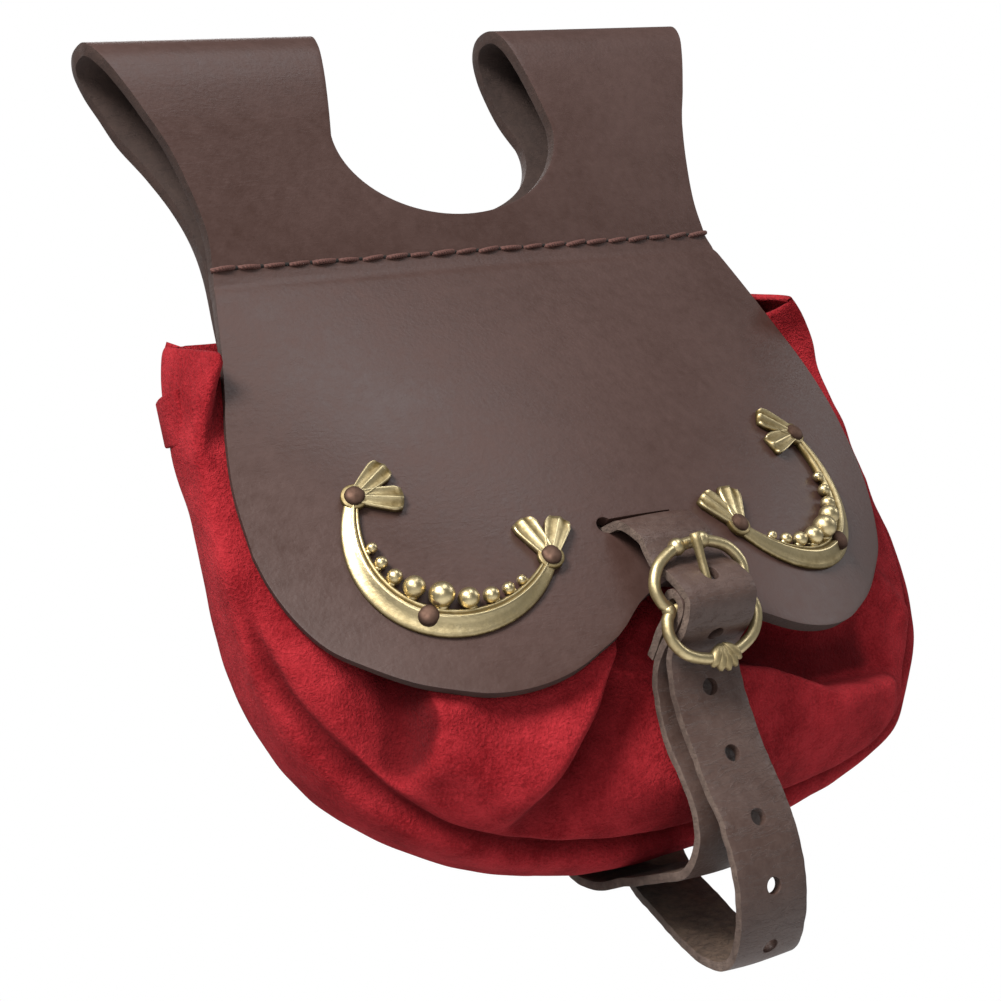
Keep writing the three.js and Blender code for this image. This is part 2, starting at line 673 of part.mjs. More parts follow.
function crescentPiece(side) {
  let body = toSolid(crescentBand());
  const ends = [
    { rivet: crescentRivets[0], axis: 12 },
    { rivet: crescentRivets[1], axis: 86 },
  ];
  for (const { rivet, axis } of ends) {
    const reach = rivet.reach * crescentRadius;
    const at = vec(Math.cos(rivet.angle * degree) * reach, Math.sin(rivet.angle * degree) * reach, 0);
    const boss = rod(rivetHeadRadius + 0.6, 0, crescentThickness * 1.4, 8).translate(at.x, at.y, 0);
    body = body.add(toSolid(boss));
    for (const turn of [-24, 24]) {
      const leaf = petal().rotateZ((axis + turn) * degree).translate(at.x, at.y, 0);
      body = body.add(toSolid(leaf));
    }
  }
  for (const ball of balls) {
    const share = ball.at;
    const angle = lerp(crescentFrom, crescentTo, share) * degree;
    const outer = crescentRadius - 0.9 * Math.cos(share * 2 * Math.PI) - 0.9;
    const radius = ball.size * ballRadius;
    const r = outer - crescentBandWidthAt(share) - radius * 0.72;
    const bead = new THREE.SphereGeometry(radius, 6, 4).rotateX(Math.PI / 2).rotateZ(angle);
    bead.translate(Math.cos(angle) * r, Math.sin(angle) * r, Math.max(radius * 0.75, 0.9));
    body = body.add(toSolid(bead));
  }
  const floor = new THREE.BoxGeometry(crescentRadius * 4, crescentRadius * 4, crescentRadius);
  body = body.subtract(toSolid(floor.translate(0, 0, -crescentRadius / 2 + 0.05)));
  for (const rivet of crescentRivets) {
    const reach = rivet.reach * crescentRadius;
    const hole = rod(rivetShankRadius + rivetClearance, -1, 20, 8);
    hole.translate(Math.cos(rivet.angle * degree) * reach, Math.sin(rivet.angle * degree) * reach, 0);
    body = body.subtract(toSolid(hole));
    const seat = rod(rivetHeadRadius + rivetClearance, crescentThickness * 1.4, 20, 8);
    seat.translate(Math.cos(rivet.angle * degree) * reach, Math.sin(rivet.angle * degree) * reach, 0);
    body = body.subtract(toSolid(seat));
  }
  const geometry = toGeometry(body);
  const p = geometry.attributes.position;
  for (let k = 0; k < p.count; k += 1) {
    const u = side * (crescentCentreAcross - p.getX(k));
    const v = crescentCentreDown - p.getY(k);
    const at = offFlap(u, v, p.getZ(k) + seatGap - 0.05);
    p.setXYZ(k, at.x, at.y, at.z);
  }
  return outwards(geometry);
}

// A rivet: a low domed head on the brass, a shank and a burr behind the leather
function rivetPiece(rivet, side) {
  const under = seatGap * 2 + crescentThickness * 1.4;
  const back = -leatherThickness - seatGap * 2;
  const profile = [
    [0, under + rivetHeadHeight],
    [rivetHeadRadius * 0.6, under + rivetHeadHeight * 0.85],
    [rivetHeadRadius, under],
    [rivetShankRadius, under],
    [rivetShankRadius, back],
    [rivetHeadRadius * 0.8, back],
    [rivetHeadRadius * 0.7, back - 0.7],
    [0, back - 0.7],
  ];
  const points = profile.map(([r, h]) => new THREE.Vector2(r, h)).reverse();
  const geometry = new THREE.LatheGeometry(points, 8).rotateX(Math.PI / 2);
  const { u, v } = rivetPlace(rivet, side);
  return toGeometry(toSolid(outwards(mergeBare(ontoFlap(geometry, u, v)))));
}
function mergeBare(geometry) {
  for (const name of Object.keys(geometry.attributes)) {
    if (name !== 'position') geometry.deleteAttribute(name);
  }
  const merged = mergeVertices(geometry, 1e-4);
  const faces = [];
  const source = merged.index.array;
  for (let k = 0; k < source.length; k += 3) {
    const [a, b, c] = [source[k], source[k + 1], source[k + 2]];
    if (a !== b && b !== c && a !== c) faces.push(a, b, c);
  }
  merged.setIndex(faces);
  return merged;
}

// The double-oval buckle frame, in its own plane: shares of buckleHalfWidth and buckleHalfHeight
const frameOutline = [
  { across: 0.0, up: 1.0 },
  { across: 0.42, up: 0.94 },
  { across: 0.8, up: 0.74 },
  { across: 0.97, up: 0.42 },
  { across: 0.93, up: 0.15 },
  { across: 0.83, up: 0.0 },
  { across: 0.93, up: -0.15 },
  { across: 0.97, up: -0.42 },
  { across: 0.8, up: -0.74 },
  { across: 0.42, up: -0.94 },
  { across: 0.0, up: -1.0 },
];
function buckleFrame() {
  const right = frameOutline.map((p) => vec(p.across * buckleHalfWidth, 0, p.up * buckleHalfHeight));
  const left = right.slice(1, -1).reverse().map((p) => vec(-p.x, p.y, p.z));
  const curve = new THREE.CatmullRomCurve3([...right, ...left], true, 'centripetal');
  const steps = 28;
  const rings = [];
  for (let i = 0; i < steps; i += 1) {
    const at = curve.getPointAt(i / steps);
    const along = curve.getTangentAt(i / steps);
    const out = vec(along.z, 0, -along.x);
    rings.push(Array.from({ length: 6 }, (_, j) => {
      const angle = (j / 6) * Math.PI * 2;
      const p = at.clone().addScaledVector(out, Math.cos(angle) * buckleWireRadius);
      p.y += Math.sin(angle) * buckleWireRadius;
      return p;
    }));
  }
  const positions = rings.flat().flatMap((p) => [p.x, p.y, p.z]);
  const index = [];
  for (let i = 0; i < steps; i += 1) {
    for (let j = 0; j < 6; j += 1) {
      const a = i * 6 + j;
      const b = i * 6 + ((j + 1) % 6);
      const c = ((i + 1) % steps) * 6 + j;
      const d = ((i + 1) % steps) * 6 + ((j + 1) % 6);
      index.push(a, c, b, b, c, d);
    }
  }
  const ring = new THREE.BufferGeometry();
  ring.setAttribute('position', new THREE.Float32BufferAttribute(positions, 3));
  ring.setIndex(index);
  let body = toSolid(outwards(ring));
  const bar = new THREE.CylinderGeometry(buckleWireRadius, buckleWireRadius, buckleHalfWidth * 1.7, 8);
  body = body.add(toSolid(bar.rotateZ(Math.PI / 2)));
  for (const side of [-1, 1]) {
    const knob = new THREE.SphereGeometry(buckleWireRadius * 1.5, 6, 4);
    knob.translate(side * buckleHalfWidth * 0.27, 0, buckleHalfHeight * 0.99);
    body = body.add(toSolid(knob));
  }
  for (const turn of [-50, -25, 0, 25, 50]) {
    const flute = new THREE.SphereGeometry(buckleWireRadius, 5, 4).scale(1, 0.95, 2.3);
    flute.translate(0, 0, -buckleWireRadius * 1.9).rotateY(turn * degree);
    body = body.add(toSolid(flute.translate(0, -0.2, -buckleHalfHeight + buckleWireRadius)));
  }
  return toGeometry(body).translate(0, buckleY, buckleZ);
}

// The pin: a ring round the bar and a shank through the strap's hole onto the frame's top
function bucklePin() {
  const hole = buckleWireRadius + 0.25;
  const rim = hole + 1.1;
  const width = pinRadius * 1.9;
  const profile = [[hole, -width / 2], [rim, -width / 2], [rim, width / 2], [hole, width / 2], [hole, -width / 2]];
  const ring = new THREE.LatheGeometry(profile.map(([r, h]) => new THREE.Vector2(r, h)), 12);
  let body = toSolid(outwards(mergeBare(ring.rotateZ(Math.PI / 2))));
  const tipY = -buckleWireRadius * 1.2 - pinRadius - 0.5;
  const path = new THREE.LineCurve3(vec(0, -rim + 0.6, 0.4), vec(0, tipY, buckleHalfHeight + 1.6));
  const shape = new THREE.Shape();
  shape.moveTo(pinRadius, -pinRadius * 0.9);
  shape.lineTo(pinRadius, pinRadius * 0.9);
  shape.lineTo(-pinRadius, pinRadius * 0.9);
  shape.lineTo(-pinRadius, -pinRadius * 0.9);
  const shank = new THREE.ExtrudeGeometry(shape, { steps: 6, extrudePath: path, bevelEnabled: false });
  body = body.add(toSolid(outwards(mergeBare(shank))));
  return toGeometry(body).translate(0, buckleY, buckleZ);
}

const finishes = {
  leather: new THREE.MeshStandardMaterial({ color: 0x57443f, roughness: 0.55, metalness: 0 }),
  strapLeather: new THREE.MeshStandardMaterial({ color: 0x5a4a47, roughness: 0.6, metalness: 0 }),
  suede: new THREE.MeshStandardMaterial({ color: 0x93202a, roughness: 0.95, metalness: 0 }),
  brass: new THREE.MeshStandardMaterial({ color: 0xb3a070, roughness: 0.35, metalness: 1 }),
  copper: new THREE.MeshStandardMaterial({ color: 0x5c4438, roughness: 0.5, metalness: 1 }),
};

// The pouch is modelled round the middle of its stitching and set so that the belt's centre
// line is the origin
const pouch = new THREE.Group();
pouch.position.set(0, -beltCentreBack, -beltCentreUp);
function place(name, geometry, finish) {
  const mesh = new THREE.Mesh(geometry, finishes[finish].clone());
  mesh.name = name;
  pouch.add(mesh);
}
place('leather_body', cutLeather(), 'leather');
place('suede_bag', suedeBag(), 'suede');
place('hole_strap', holeStrap(), 'strapLeather');
place('buckle_strap', buckleStrap(), 'strapLeather');
place('buckle_frame', buckleFrame(), 'brass');
place('buckle_pin', bucklePin(), 'brass');
for (const [sideName, side] of [['left', -1], ['right', 1]]) {
  place(`crescent_${sideName}`, crescentPiece(side), 'brass');
  for (const rivet of crescentRivets) {
    place(`rivet_${sideName}_${rivet.name}`, rivetPiece(rivet, side), 'copper');
  }
}

const group = new THREE.Group();
group.add(pouch);
export default group;
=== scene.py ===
# Medieval belt pouch: a lobed flap of thick brown leather with two belt loops, a soft bag of red
# suede behind it, two cast brass crescents and a buckled strap. Lengths are in millimetres from
# the middle of the stitching, and become metres round the belt's centre line in each mesh.
import math

import bmesh
import bpy
import numpy as np
from mathutils import Matrix, Vector, noise


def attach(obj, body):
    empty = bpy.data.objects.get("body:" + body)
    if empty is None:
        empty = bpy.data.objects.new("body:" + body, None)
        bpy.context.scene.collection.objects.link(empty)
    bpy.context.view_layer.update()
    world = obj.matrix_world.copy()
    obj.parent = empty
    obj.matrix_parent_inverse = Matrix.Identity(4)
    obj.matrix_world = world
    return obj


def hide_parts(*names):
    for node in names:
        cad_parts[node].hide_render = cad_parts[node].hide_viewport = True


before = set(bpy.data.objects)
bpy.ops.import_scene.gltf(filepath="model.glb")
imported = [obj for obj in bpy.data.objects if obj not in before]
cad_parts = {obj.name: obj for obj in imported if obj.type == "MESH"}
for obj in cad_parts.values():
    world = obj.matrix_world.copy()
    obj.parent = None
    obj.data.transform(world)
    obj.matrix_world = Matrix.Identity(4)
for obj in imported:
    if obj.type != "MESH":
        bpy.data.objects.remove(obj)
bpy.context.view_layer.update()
scene = bpy.context.scene

# The camera stands in front of the pouch, to its left and a little below it, at the photograph's
# angle. Its place and lens were fitted to the loops, the stitching, the crescents and the strap.
camera_place = Vector((-0.2626, -0.4129, -0.1518))
camera_right = Vector((0.8389, -0.4969, -0.2220)).normalized()
camera_ahead = Vector((0.5291, 0.8402, 0.1187)).normalized()
camera_up = camera_right.cross(camera_ahead).normalized()
camera = bpy.data.objects.new("photo_camera", bpy.data.cameras.new("photo_camera"))
camera.data.sensor_width = 36
camera.data.lens = 72.9
turn = Matrix((camera_ahead.cross(camera_up), camera_up, -camera_ahead)).transposed()
camera.matrix_world = Matrix.Translation(camera_place) @ turn.to_4x4()
scene.collection.objects.link(camera)
scene.camera = camera


# The leather body is one piece of thick vegetable-tanned hide, dyed dark brown. It runs up from
# the flap into two belt loops, folds over the belt and comes down behind as a short back panel.
# Its cut edges are rubbed smooth, and the grain side carries fine scratches.
stitch_middle = np.array((0.0, -11.0, -34.0))
millimetre = 0.001
leather_thickness = 3.0
flap_length = 117.0
flap_half_width = 85.8
stitch_half_width = 70.0
lean_at_stitch = math.radians(30.3)
lean_at_lobes = math.radians(19.1)
lean_ease = 4.0
flap_curve_radius = 163.5
loop_height = 61.6
loop_slant = 1.6
loop_depth = 24.4
loop_half_width = 84.6
gap_half_width = 31.6
gap_top_half_width = 26.0
gap_round_height = 22.0
gap_bottom = 9.8
back_panel_drop = 40.0
layer_gap = 0.3
back_face_y = leather_thickness * 2 + layer_gap
gap_round_top = gap_bottom + gap_round_height
slit_down = 85.4
slit_width = 19.2
slit_height = 2.6
scored_line_down = 4.2
scored_line_depth = 0.35
# down the side and across: shares of flap_length and flap_half_width
flap_sides = np.array((
    (0.0, 0.816), (0.035, 0.828), (0.145, 0.867), (0.255, 0.909),
    (0.363, 0.956), (0.47, 0.988), (0.595, 1.0),
))
# across the lobe and down to its edge, as the same shares
flap_lobes = np.array((
    (0.0, 0.862), (0.065, 0.877), (0.12, 0.899), (0.153, 0.918), (0.203, 0.946), (0.268, 0.967),
    (0.338, 0.988), (0.41, 0.999), (0.49, 1.0), (0.577, 0.988), (0.652, 0.963), (0.746, 0.923),
    (0.84, 0.864), (0.912, 0.808), (0.961, 0.736), (0.99, 0.658), (1.0, 0.595),
))
# back, up and across: shares of loop_depth, loop_height and loop_half_width
loop_profile = np.array((
    (0.013, 0.162, 0.82), (0.074, 0.487, 0.863), (0.11, 0.65, 0.908), (0.18, 0.812, 0.955),
    (0.27, 0.915, 0.985), (0.41, 0.98, 1.0), (0.6, 1.0, 1.0), (0.79, 0.988, 1.0),
    (0.93, 0.94, 0.99), (1.0, 0.855, 0.965), (1.0, 0.76, 0.935), (0.95, 0.64, 0.905),
    (0.79, 0.487, 0.863), (0.62, 0.325, 0.83), (0.425, 0.162, 0.82),
))


def flap_lean(v):
    share = v / flap_length
    fall = (lean_at_stitch - lean_at_lobes) * (0.32 * share + 0.68 * share * share)
    ease = np.clip((v + lean_ease / 2) / (lean_ease * 1.5), 0, 1)
    return (lean_at_stitch - fall) * ease * ease * (3 - 2 * ease)


spine_v = np.linspace(0, flap_length * 1.4, 161)
spine_lean = flap_lean((spine_v[1:] + spine_v[:-1]) / 2)
spine_y = np.concatenate(([0], np.cumsum(-np.sin(spine_lean) * spine_v[1])))
spine_z = np.concatenate(([0], np.cumsum(-np.cos(spine_lean) * spine_v[1])))


def flap_point(u, v):
    """The flap's front face: u across from the middle, v down from the stitching"""
    share = v / flap_length
    bend = np.maximum((1.147 * share - 0.147 * share * share) / flap_curve_radius, 1e-7)
    back = (1 - np.cos(bend * u)) / bend
    lean = flap_lean(v)
    y = np.interp(v, spine_v, spine_y) + back * np.cos(lean)
    z = np.interp(v, spine_v, spine_z) - back * np.sin(lean)
    return np.stack([np.sin(bend * u) / bend, y, z], -1)


def off_flap(u, v, out):
    """Places that stand off the flap's front face, or behind it where out is negative"""
    across = flap_point(u + 0.5, v) - flap_point(u - 0.5, v)
    down = flap_point(u, v + 0.5) - flap_point(u, v - 0.5)
    normal = np.cross(down, across)
    normal /= np.linalg.norm(normal, axis=-1, keepdims=True)
    return flap_point(u, v) + normal * np.asarray(out)[..., None]


def smooth_line(points, count, closed=False):
    """Evenly spaced places on a smooth line through a few points"""
    p = np.array(points, float)
    if closed:
        p = np.vstack([p[-1:], p, p[:2]])
    else:
        p = np.vstack([2 * p[:1] - p[1:2], p, 2 * p[-1:] - p[-2:-1]])
    fine = []
    for i in range(1, len(p) - 2):
        a, b, c, d = p[i - 1 : i + 3]
        gaps = [max(np.linalg.norm(q - r), 1e-9) ** 0.5 for q, r in ((b, a), (c, b), (d, c))]
        knots = np.cumsum([0] + gaps)
        t = np.linspace(knots[1], knots[2], 30, endpoint=False)[:, None]

        def mix(first, second, low, high):
            return (first * (knots[high] - t) + second * (t - knots[low])) / (knots[high] - knots[low])

        ab, bc, cd = mix(a, b, 0, 1), mix(b, c, 1, 2), mix(c, d, 2, 3)
        fine.append(mix(mix(ab, bc, 0, 2), mix(bc, cd, 1, 3), 1, 2))
    fine = np.vstack(fine + [p[-2:-1]])
    run = np.concatenate(([0], np.cumsum(np.linalg.norm(np.diff(fine, axis=0), axis=1))))
    at = np.linspace(0, run[-1], count, endpoint=not closed)
    return np.stack([np.interp(at, run, fine[:, k]) for k in range(fine.shape[1])], 1)


def smooth_table(table, place, column=1):
    """Reads a table of places and values along a smooth line through its rows"""
    line = smooth_line(table, 600)
    return np.interp(place, line[:, 0], line[:, column])


def grid_faces(rows, columns, start=0, around=False):
    faces = []
    for i in range(rows - 1):
        for j in range(columns if around else columns - 1):
            k = (j + 1) % columns
            a, b = start + i * columns, start + (i + 1) * columns
            faces.append((a + j, b + j, b + k, a + k))
    return faces


def new_piece(name, points, faces, join=0.02, recess=None):
    """A mesh from places in millimetres, doubled vertices joined, with a recess value at each place:
    painted shade on the suede, tarnish on the brass and copper
    """
    mesh = bpy.data.meshes.new(name)
    places = (np.asarray(points, float).reshape(-1, 3) + stitch_middle) * millimetre
    mesh.from_pydata(places.tolist(), [], faces)
    if recess is not None:
        layer = mesh.attributes.new("recess", "FLOAT", "POINT")
        layer.data.foreach_set("value", np.asarray(recess, np.float32).ravel())
    body = bmesh.new()
    body.from_mesh(mesh)
    bmesh.ops.remove_doubles(body, verts=body.verts, dist=join * millimetre)
    bmesh.ops.dissolve_degenerate(body, edges=body.edges, dist=1e-7)
    body.to_mesh(mesh)
    body.free()
    piece = bpy.data.objects.new(name, mesh)
    scene.collection.objects.link(piece)
    return piece


def change(piece, name, kind, **settings):
    """A live modifier with its settings"""
    made = piece.modifiers.new(name, kind)
    for key, value in settings.items():
        setattr(made, key, value)
    return made


def apply_modifiers(piece):
    """Turns a piece with live modifiers into a plain mesh"""
    graph = bpy.context.evaluated_depsgraph_get()
    mesh = bpy.data.meshes.new_from_object(piece.evaluated_get(graph))
    piece.modifiers.clear()
    piece.data = mesh
    piece.data.shade_smooth()


def finish_piece(piece, slot, *nodes):
    """Puts the piece on the pouch and lets it stand for its CAD nodes"""
    piece.data.name = piece.name
    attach(piece, "root")
    if nodes:
        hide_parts(*nodes)


def add(tree, kind, values=None, **settings):
    """A node with its settings, and with values for its sockets by name or number"""
    made = tree.nodes.new(kind)
    for key, value in settings.items():
        setattr(made, key, value)
    for key, value in (values or {}).items():
        made.inputs[key].default_value = value
    return made


def wire(tree, *links):
    """Links an output of one node to an input of another, each by name or number"""
    for source, output, target, socket in links:
        tree.links.new(source.outputs[output], target.inputs[socket])


def socket_name(key):
    return key.replace("_", " ").title().replace("Ior", "IOR")


def new_material(name, **values):
    """A material, its node tree, its shader and the piece's own coordinates"""
    material = bpy.data.materials.new(name)
    material.use_nodes = True
    tree = material.node_tree
    shader = tree.nodes["Principled BSDF"]
    for key, value in values.items():
        shader.inputs[socket_name(key)].default_value = value
    return material, tree, shader, tree.nodes.new("ShaderNodeTexCoord")


def new_group(name, output, **inputs):
    """A shader node group from a vector and named numbers to one number"""
    group = bpy.data.node_groups.new(name, "ShaderNodeTree")
    group.interface.new_socket("Vector", in_out="INPUT", socket_type="NodeSocketVector")
    number = "NodeSocketFloat"
    for key, value in inputs.items():
        socket = group.interface.new_socket(socket_name(key), in_out="INPUT", socket_type=number)
        socket.default_value = value
    group.interface.new_socket(output, in_out="OUTPUT", socket_type=number)
    return group, group.nodes.new("NodeGroupInput"), group.nodes.new("NodeGroupOutput")


# Mottle: cloudy changes of tone, large and small, as dye and handling leave them
mottle, m_in, m_out = new_group("mottle", "Mask", large=40.0, small=300.0)
clouds = add(mottle, "ShaderNodeTexNoise", {"Detail": 4.0, "Roughness": 0.6})
specks = add(mottle, "ShaderNodeTexNoise", {"Detail": 3.0, "Roughness": 0.7})
large_share = add(mottle, "ShaderNodeMath", {1: 0.6}, operation="MULTIPLY")
small_share = add(mottle, "ShaderNodeMath", {1: 0.4}, operation="MULTIPLY")
tone_sum = add(mottle, "ShaderNodeMath", operation="ADD")
wire(
    mottle,
    (m_in, "Vector", clouds, "Vector"), (m_in, "Vector", specks, "Vector"),
    (m_in, "Large", clouds, "Scale"), (m_in, "Small", specks, "Scale"),
    (clouds, "Fac", large_share, 0), (specks, "Fac", small_share, 0),
    (large_share, 0, tone_sum, 0), (small_share, 0, tone_sum, 1), (tone_sum, 0, m_out, "Mask"),
)

# Grain: the pebbled skin of the hide with finer pores, and long shallow scratches and creases
grain, g_in, g_out = new_group(
    "hide_grain", "Height", pebble_scale=1300.0, crease_scale=60.0, crease_depth=0.4
)
pebbles = add(grain, "ShaderNodeTexVoronoi", feature="SMOOTH_F1")
pores = add(grain, "ShaderNodeTexNoise", {"Detail": 2.0})
pore_scale = add(grain, "ShaderNodeMath", {1: 2.3}, operation="MULTIPLY")
stretch = add(grain, "ShaderNodeMapping", {"Scale": (1.0, 0.6, 4.5), "Rotation": (0.0, 0.5, 0.0)})
creases = add(grain, "ShaderNodeTexNoise", {"Detail": 6.0, "Roughness": 0.62, "Distortion": 0.6})
thin = add(grain, "ShaderNodeMapRange", {"From Min": 0.47, "From Max": 0.53})
scratch = add(grain, "ShaderNodeMath", {1: 0.5}, operation="PINGPONG")
deep = add(grain, "ShaderNodeMath", operation="MULTIPLY")
pebble_part = add(grain, "ShaderNodeMath", {1: 0.5}, operation="MULTIPLY")
pore_part = add(grain, "ShaderNodeMath", {1: 0.3}, operation="MULTIPLY")
skin_sum = add(grain, "ShaderNodeMath", operation="ADD")
height_sum = add(grain, "ShaderNodeMath", operation="ADD")
wire(
    grain,
    (g_in, "Vector", pebbles, "Vector"), (g_in, "Vector", pores, "Vector"),
    (g_in, "Vector", stretch, "Vector"), (stretch, 0, creases, "Vector"),
    (g_in, "Pebble Scale", pebbles, "Scale"), (g_in, "Pebble Scale", pore_scale, 0),
    (pore_scale, 0, pores, "Scale"), (g_in, "Crease Scale", creases, "Scale"),
    (creases, "Fac", thin, "Value"), (thin, 0, scratch, 0), (scratch, 0, deep, 0),
    (g_in, "Crease Depth", deep, 1), (pebbles, "Distance", pebble_part, 0),
    (pores, "Fac", pore_part, 0), (pebble_part, 0, skin_sum, 0), (pore_part, 0, skin_sum, 1),
    (skin_sum, 0, height_sum, 0), (deep, 0, height_sum, 1), (height_sum, 0, g_out, "Height"),
)


def use_group(tree, group, place, **values):
    made = tree.nodes.new("ShaderNodeGroup")
    made.node_tree = group
    for key, value in values.items():
        made.inputs[socket_name(key)].default_value = value
    wire(tree, (place, "Object", made, "Vector"))
    return made


def two_tones(tree, shader, source, output, reach, first, second):
    """Blends two colours by a mask, from its low to its high value, and returns the blend"""
    spread = add(tree, "ShaderNodeMapRange", {"From Min": reach[0], "From Max": reach[1]})
    blend = add(tree, "ShaderNodeMix", {6: (*first, 1), 7: (*second, 1)}, data_type="RGBA")
    wire(tree, (source, output, spread, "Value"), (spread, 0, blend, 0))
    wire(tree, (blend, 2, shader, "Base Color"))
    return blend


def raised(tree, shader, source, output, strength, distance):
    relief = add(tree, "ShaderNodeBump", {"Strength": strength, "Distance": distance})
    wire(tree, (source, output, relief, "Height"), (relief, 0, shader, "Normal"))


def hide_material(name, dark, light, roughness, pebble, crease, depth, bump):
    """Dyed hide: two tones of brown, rough or smooth, with grain and creases"""
    material, tree, shader, place = new_material(name, specular_ior_level=0.36)
    tone = use_group(tree, mottle, place, large=26.0, small=420.0)
    skin = use_group(tree, grain, place, pebble_scale=pebble, crease_scale=crease, crease_depth=depth)
    two_tones(tree, shader, tone, "Mask", (0.36, 0.66), dark, light)
    reach = {"From Min": 0.35, "From Max": 0.68, "To Min": roughness - 0.08, "To Max": roughness + 0.1}
    rough = add(tree, "ShaderNodeMapRange", reach)
    wire(tree, (tone, "Mask", rough, "Value"), (rough, 0, shader, "Roughness"))
    raised(tree, shader, skin, "Height", 0.6, bump)
    return material


body_hide = hide_material(
    "brown_hide", (0.046, 0.023, 0.018), (0.062, 0.032, 0.026), 0.42, 1100.0, 34.0, 0.25, 0.00012
)
body_flesh = hide_material(
    "brown_hide_flesh", (0.030, 0.018, 0.015), (0.052, 0.032, 0.026), 0.85, 700.0, 90.0, 0.5, 0.0003
)
body_edge = hide_material(
    "brown_hide_edge", (0.026, 0.014, 0.011), (0.050, 0.028, 0.022), 0.7, 900.0, 160.0, 0.8, 0.0002
)


def loop_section():
    """The leather seen from its end, from the stitching over the loop and down the back"""
    rows = [(stitch_half_width, 0, 0)]
    rows += [(c * loop_half_width, a * loop_depth, b * loop_height) for a, b, c in loop_profile]
    rows += [
        (stitch_half_width, back_face_y, 0),
        (stitch_half_width, back_face_y + 0.1, -0.3 * back_panel_drop),
        (stitch_half_width, back_face_y + 0.4, -back_panel_drop),
    ]
    return smooth_line(rows, 1500)


def gap_edge(z):
    """Half the width of the U between the loops at a height"""
    share = np.clip((gap_round_top - z) / gap_round_height, 0, 1)
    edge = gap_half_width * np.sqrt(np.maximum(1 - share * share, 0))
    taper = np.interp(z, [gap_round_top, loop_height], [gap_half_width, gap_top_half_width])
    return np.where(z < gap_bottom, 0, np.where(z > gap_round_top, taper, edge))


def section_rows():
    """Rows up the front of the loops, over their tops and down the back, as x, y, z"""
    section = loop_section()
    top = int(np.argmax(section[:, 2]))
    front, behind = section[: top + 1], section[top:]
    below = np.linspace(0.6, gap_bottom - 0.6, 14)
    arc = gap_round_top - np.cos(np.radians(np.arange(0, 91, 3.75))) * gap_round_height
    front_z = np.concatenate([below, arc])
    back_z = np.concatenate([arc[::-1], below[::-1], np.linspace(0, -back_panel_drop, 26)])

    def at_height(line, z):
        return np.interp(z, line[:, 2], line[:, 0]), np.interp(z, line[:, 2], line[:, 1]), z

    start = int(np.searchsorted(front[:, 2], gap_round_top))
    end = top + int(np.argmax(behind[:, 2] < gap_round_top))
    rows = [at_height(front, z) for z in front_z]
    rows += [tuple(section[i]) for i in np.linspace(start + 8, end - 8, 90).astype(int)]
    rows += [at_height(behind[::-1], z) for z in back_z]
    return np.array(rows)


leather_columns = 52
flap_row_count = 84
across_share = np.sin(np.linspace(0, math.pi / 2, leather_columns + 1))
over_loops = section_rows()
leather_points = []
leather_faces = []
for side in (-1, 1):
    rows = []
    for i in range(flap_row_count, 0, -1):
        v = smooth_table(flap_lobes, across_share) * flap_length * (i / flap_row_count)
        u = side * across_share * smooth_table(flap_sides, v / flap_length) * flap_half_width
        scored = scored_line_depth * np.exp(-(((v - scored_line_down) / 0.8) ** 2))
        rows.append(off_flap(u, v, -scored))
    rows.append(flap_point(side * across_share * stitch_half_width, np.zeros(leather_columns + 1)))
    for half, y, z in over_loops:
        inner = float(gap_edge(z))
        x = side * (inner + (half - inner) * across_share)
        lift = loop_slant * max(z, 0) / loop_height * x / half
        rows.append(np.stack([x, np.full_like(x, y), z + lift], -1))
    start = len(leather_points) * (leather_columns + 1)
    faces = grid_faces(len(rows), leather_columns + 1, start)
    leather_faces += faces if side < 0 else [f[::-1] for f in faces]
    leather_points += rows
leather = new_piece("pouch_leather", np.array(leather_points), leather_faces)
hide_wall = {"offset": -1, "material_offset": 1, "material_offset_rim": 2}
leather_wall = leather_thickness * millimetre
change(leather, "wall", "SOLIDIFY", thickness=leather_wall, use_even_offset=True, **hide_wall)
for finish in (body_hide, body_flesh, body_edge):
    leather.data.materials.append(finish)
apply_modifiers(leather)


def cutter_from(name, tool):
    """An object that cuts, made from a closed shape"""
    mesh = bpy.data.meshes.new(name)
    tool.to_mesh(mesh)
    tool.free()
    cutter = bpy.data.objects.new(name, mesh)
    scene.collection.objects.link(cutter)
    return cutter


def cut_and_round(piece, cutter, width, segments, **settings):
    """Takes the cutter out of the piece and rounds its sharp edges"""
    change(piece, "cut", "BOOLEAN", object=cutter, solver="EXACT", **settings)
    change(
        piece, "rubbed_edges", "BEVEL", width=width * millimetre, segments=segments,
        limit_method="ANGLE", angle_limit=math.radians(50),
    )
    apply_modifiers(piece)
    bpy.data.objects.remove(cutter)


def punch(tool, radius, depth, sides):
    """A round punch in millimetres, and its vertices"""
    radius, depth = radius * millimetre, depth * millimetre
    made = bmesh.ops.create_cone(
        tool, cap_ends=True, segments=sides, radius1=radius, radius2=radius, depth=depth
    )
    return made["verts"]


# The slit in the flap lets the holed strap through. It ends in a round punched hole.
slit_punch_radius = 2.1
slit_cut_depth = 12.0
slit_tool = bmesh.new()
slit_middle, slit_outer = (
    off_flap(np.array(0.0), np.array(slit_down - 0.7), np.array(out)) for out in (0.0, 1.0)
)
slit_place = Matrix.Translation(Vector((slit_middle + stitch_middle) * millimetre))
slit_turn = Vector(slit_outer - slit_middle).to_track_quat("Z", "Y").to_matrix().to_4x4()
bmesh.ops.create_cube(slit_tool, size=1.0)
slit_size = Vector((slit_width, slit_height, slit_cut_depth)) * millimetre
bmesh.ops.scale(slit_tool, verts=slit_tool.verts, vec=slit_size)
slit_hole = punch(slit_tool, slit_punch_radius, slit_cut_depth, 28)
bmesh.ops.translate(slit_tool, verts=slit_hole, vec=Vector((-slit_width / 2 + 0.8, 0, 0)) * millimetre)
bmesh.ops.transform(slit_tool, matrix=slit_place @ slit_turn, verts=slit_tool.verts)
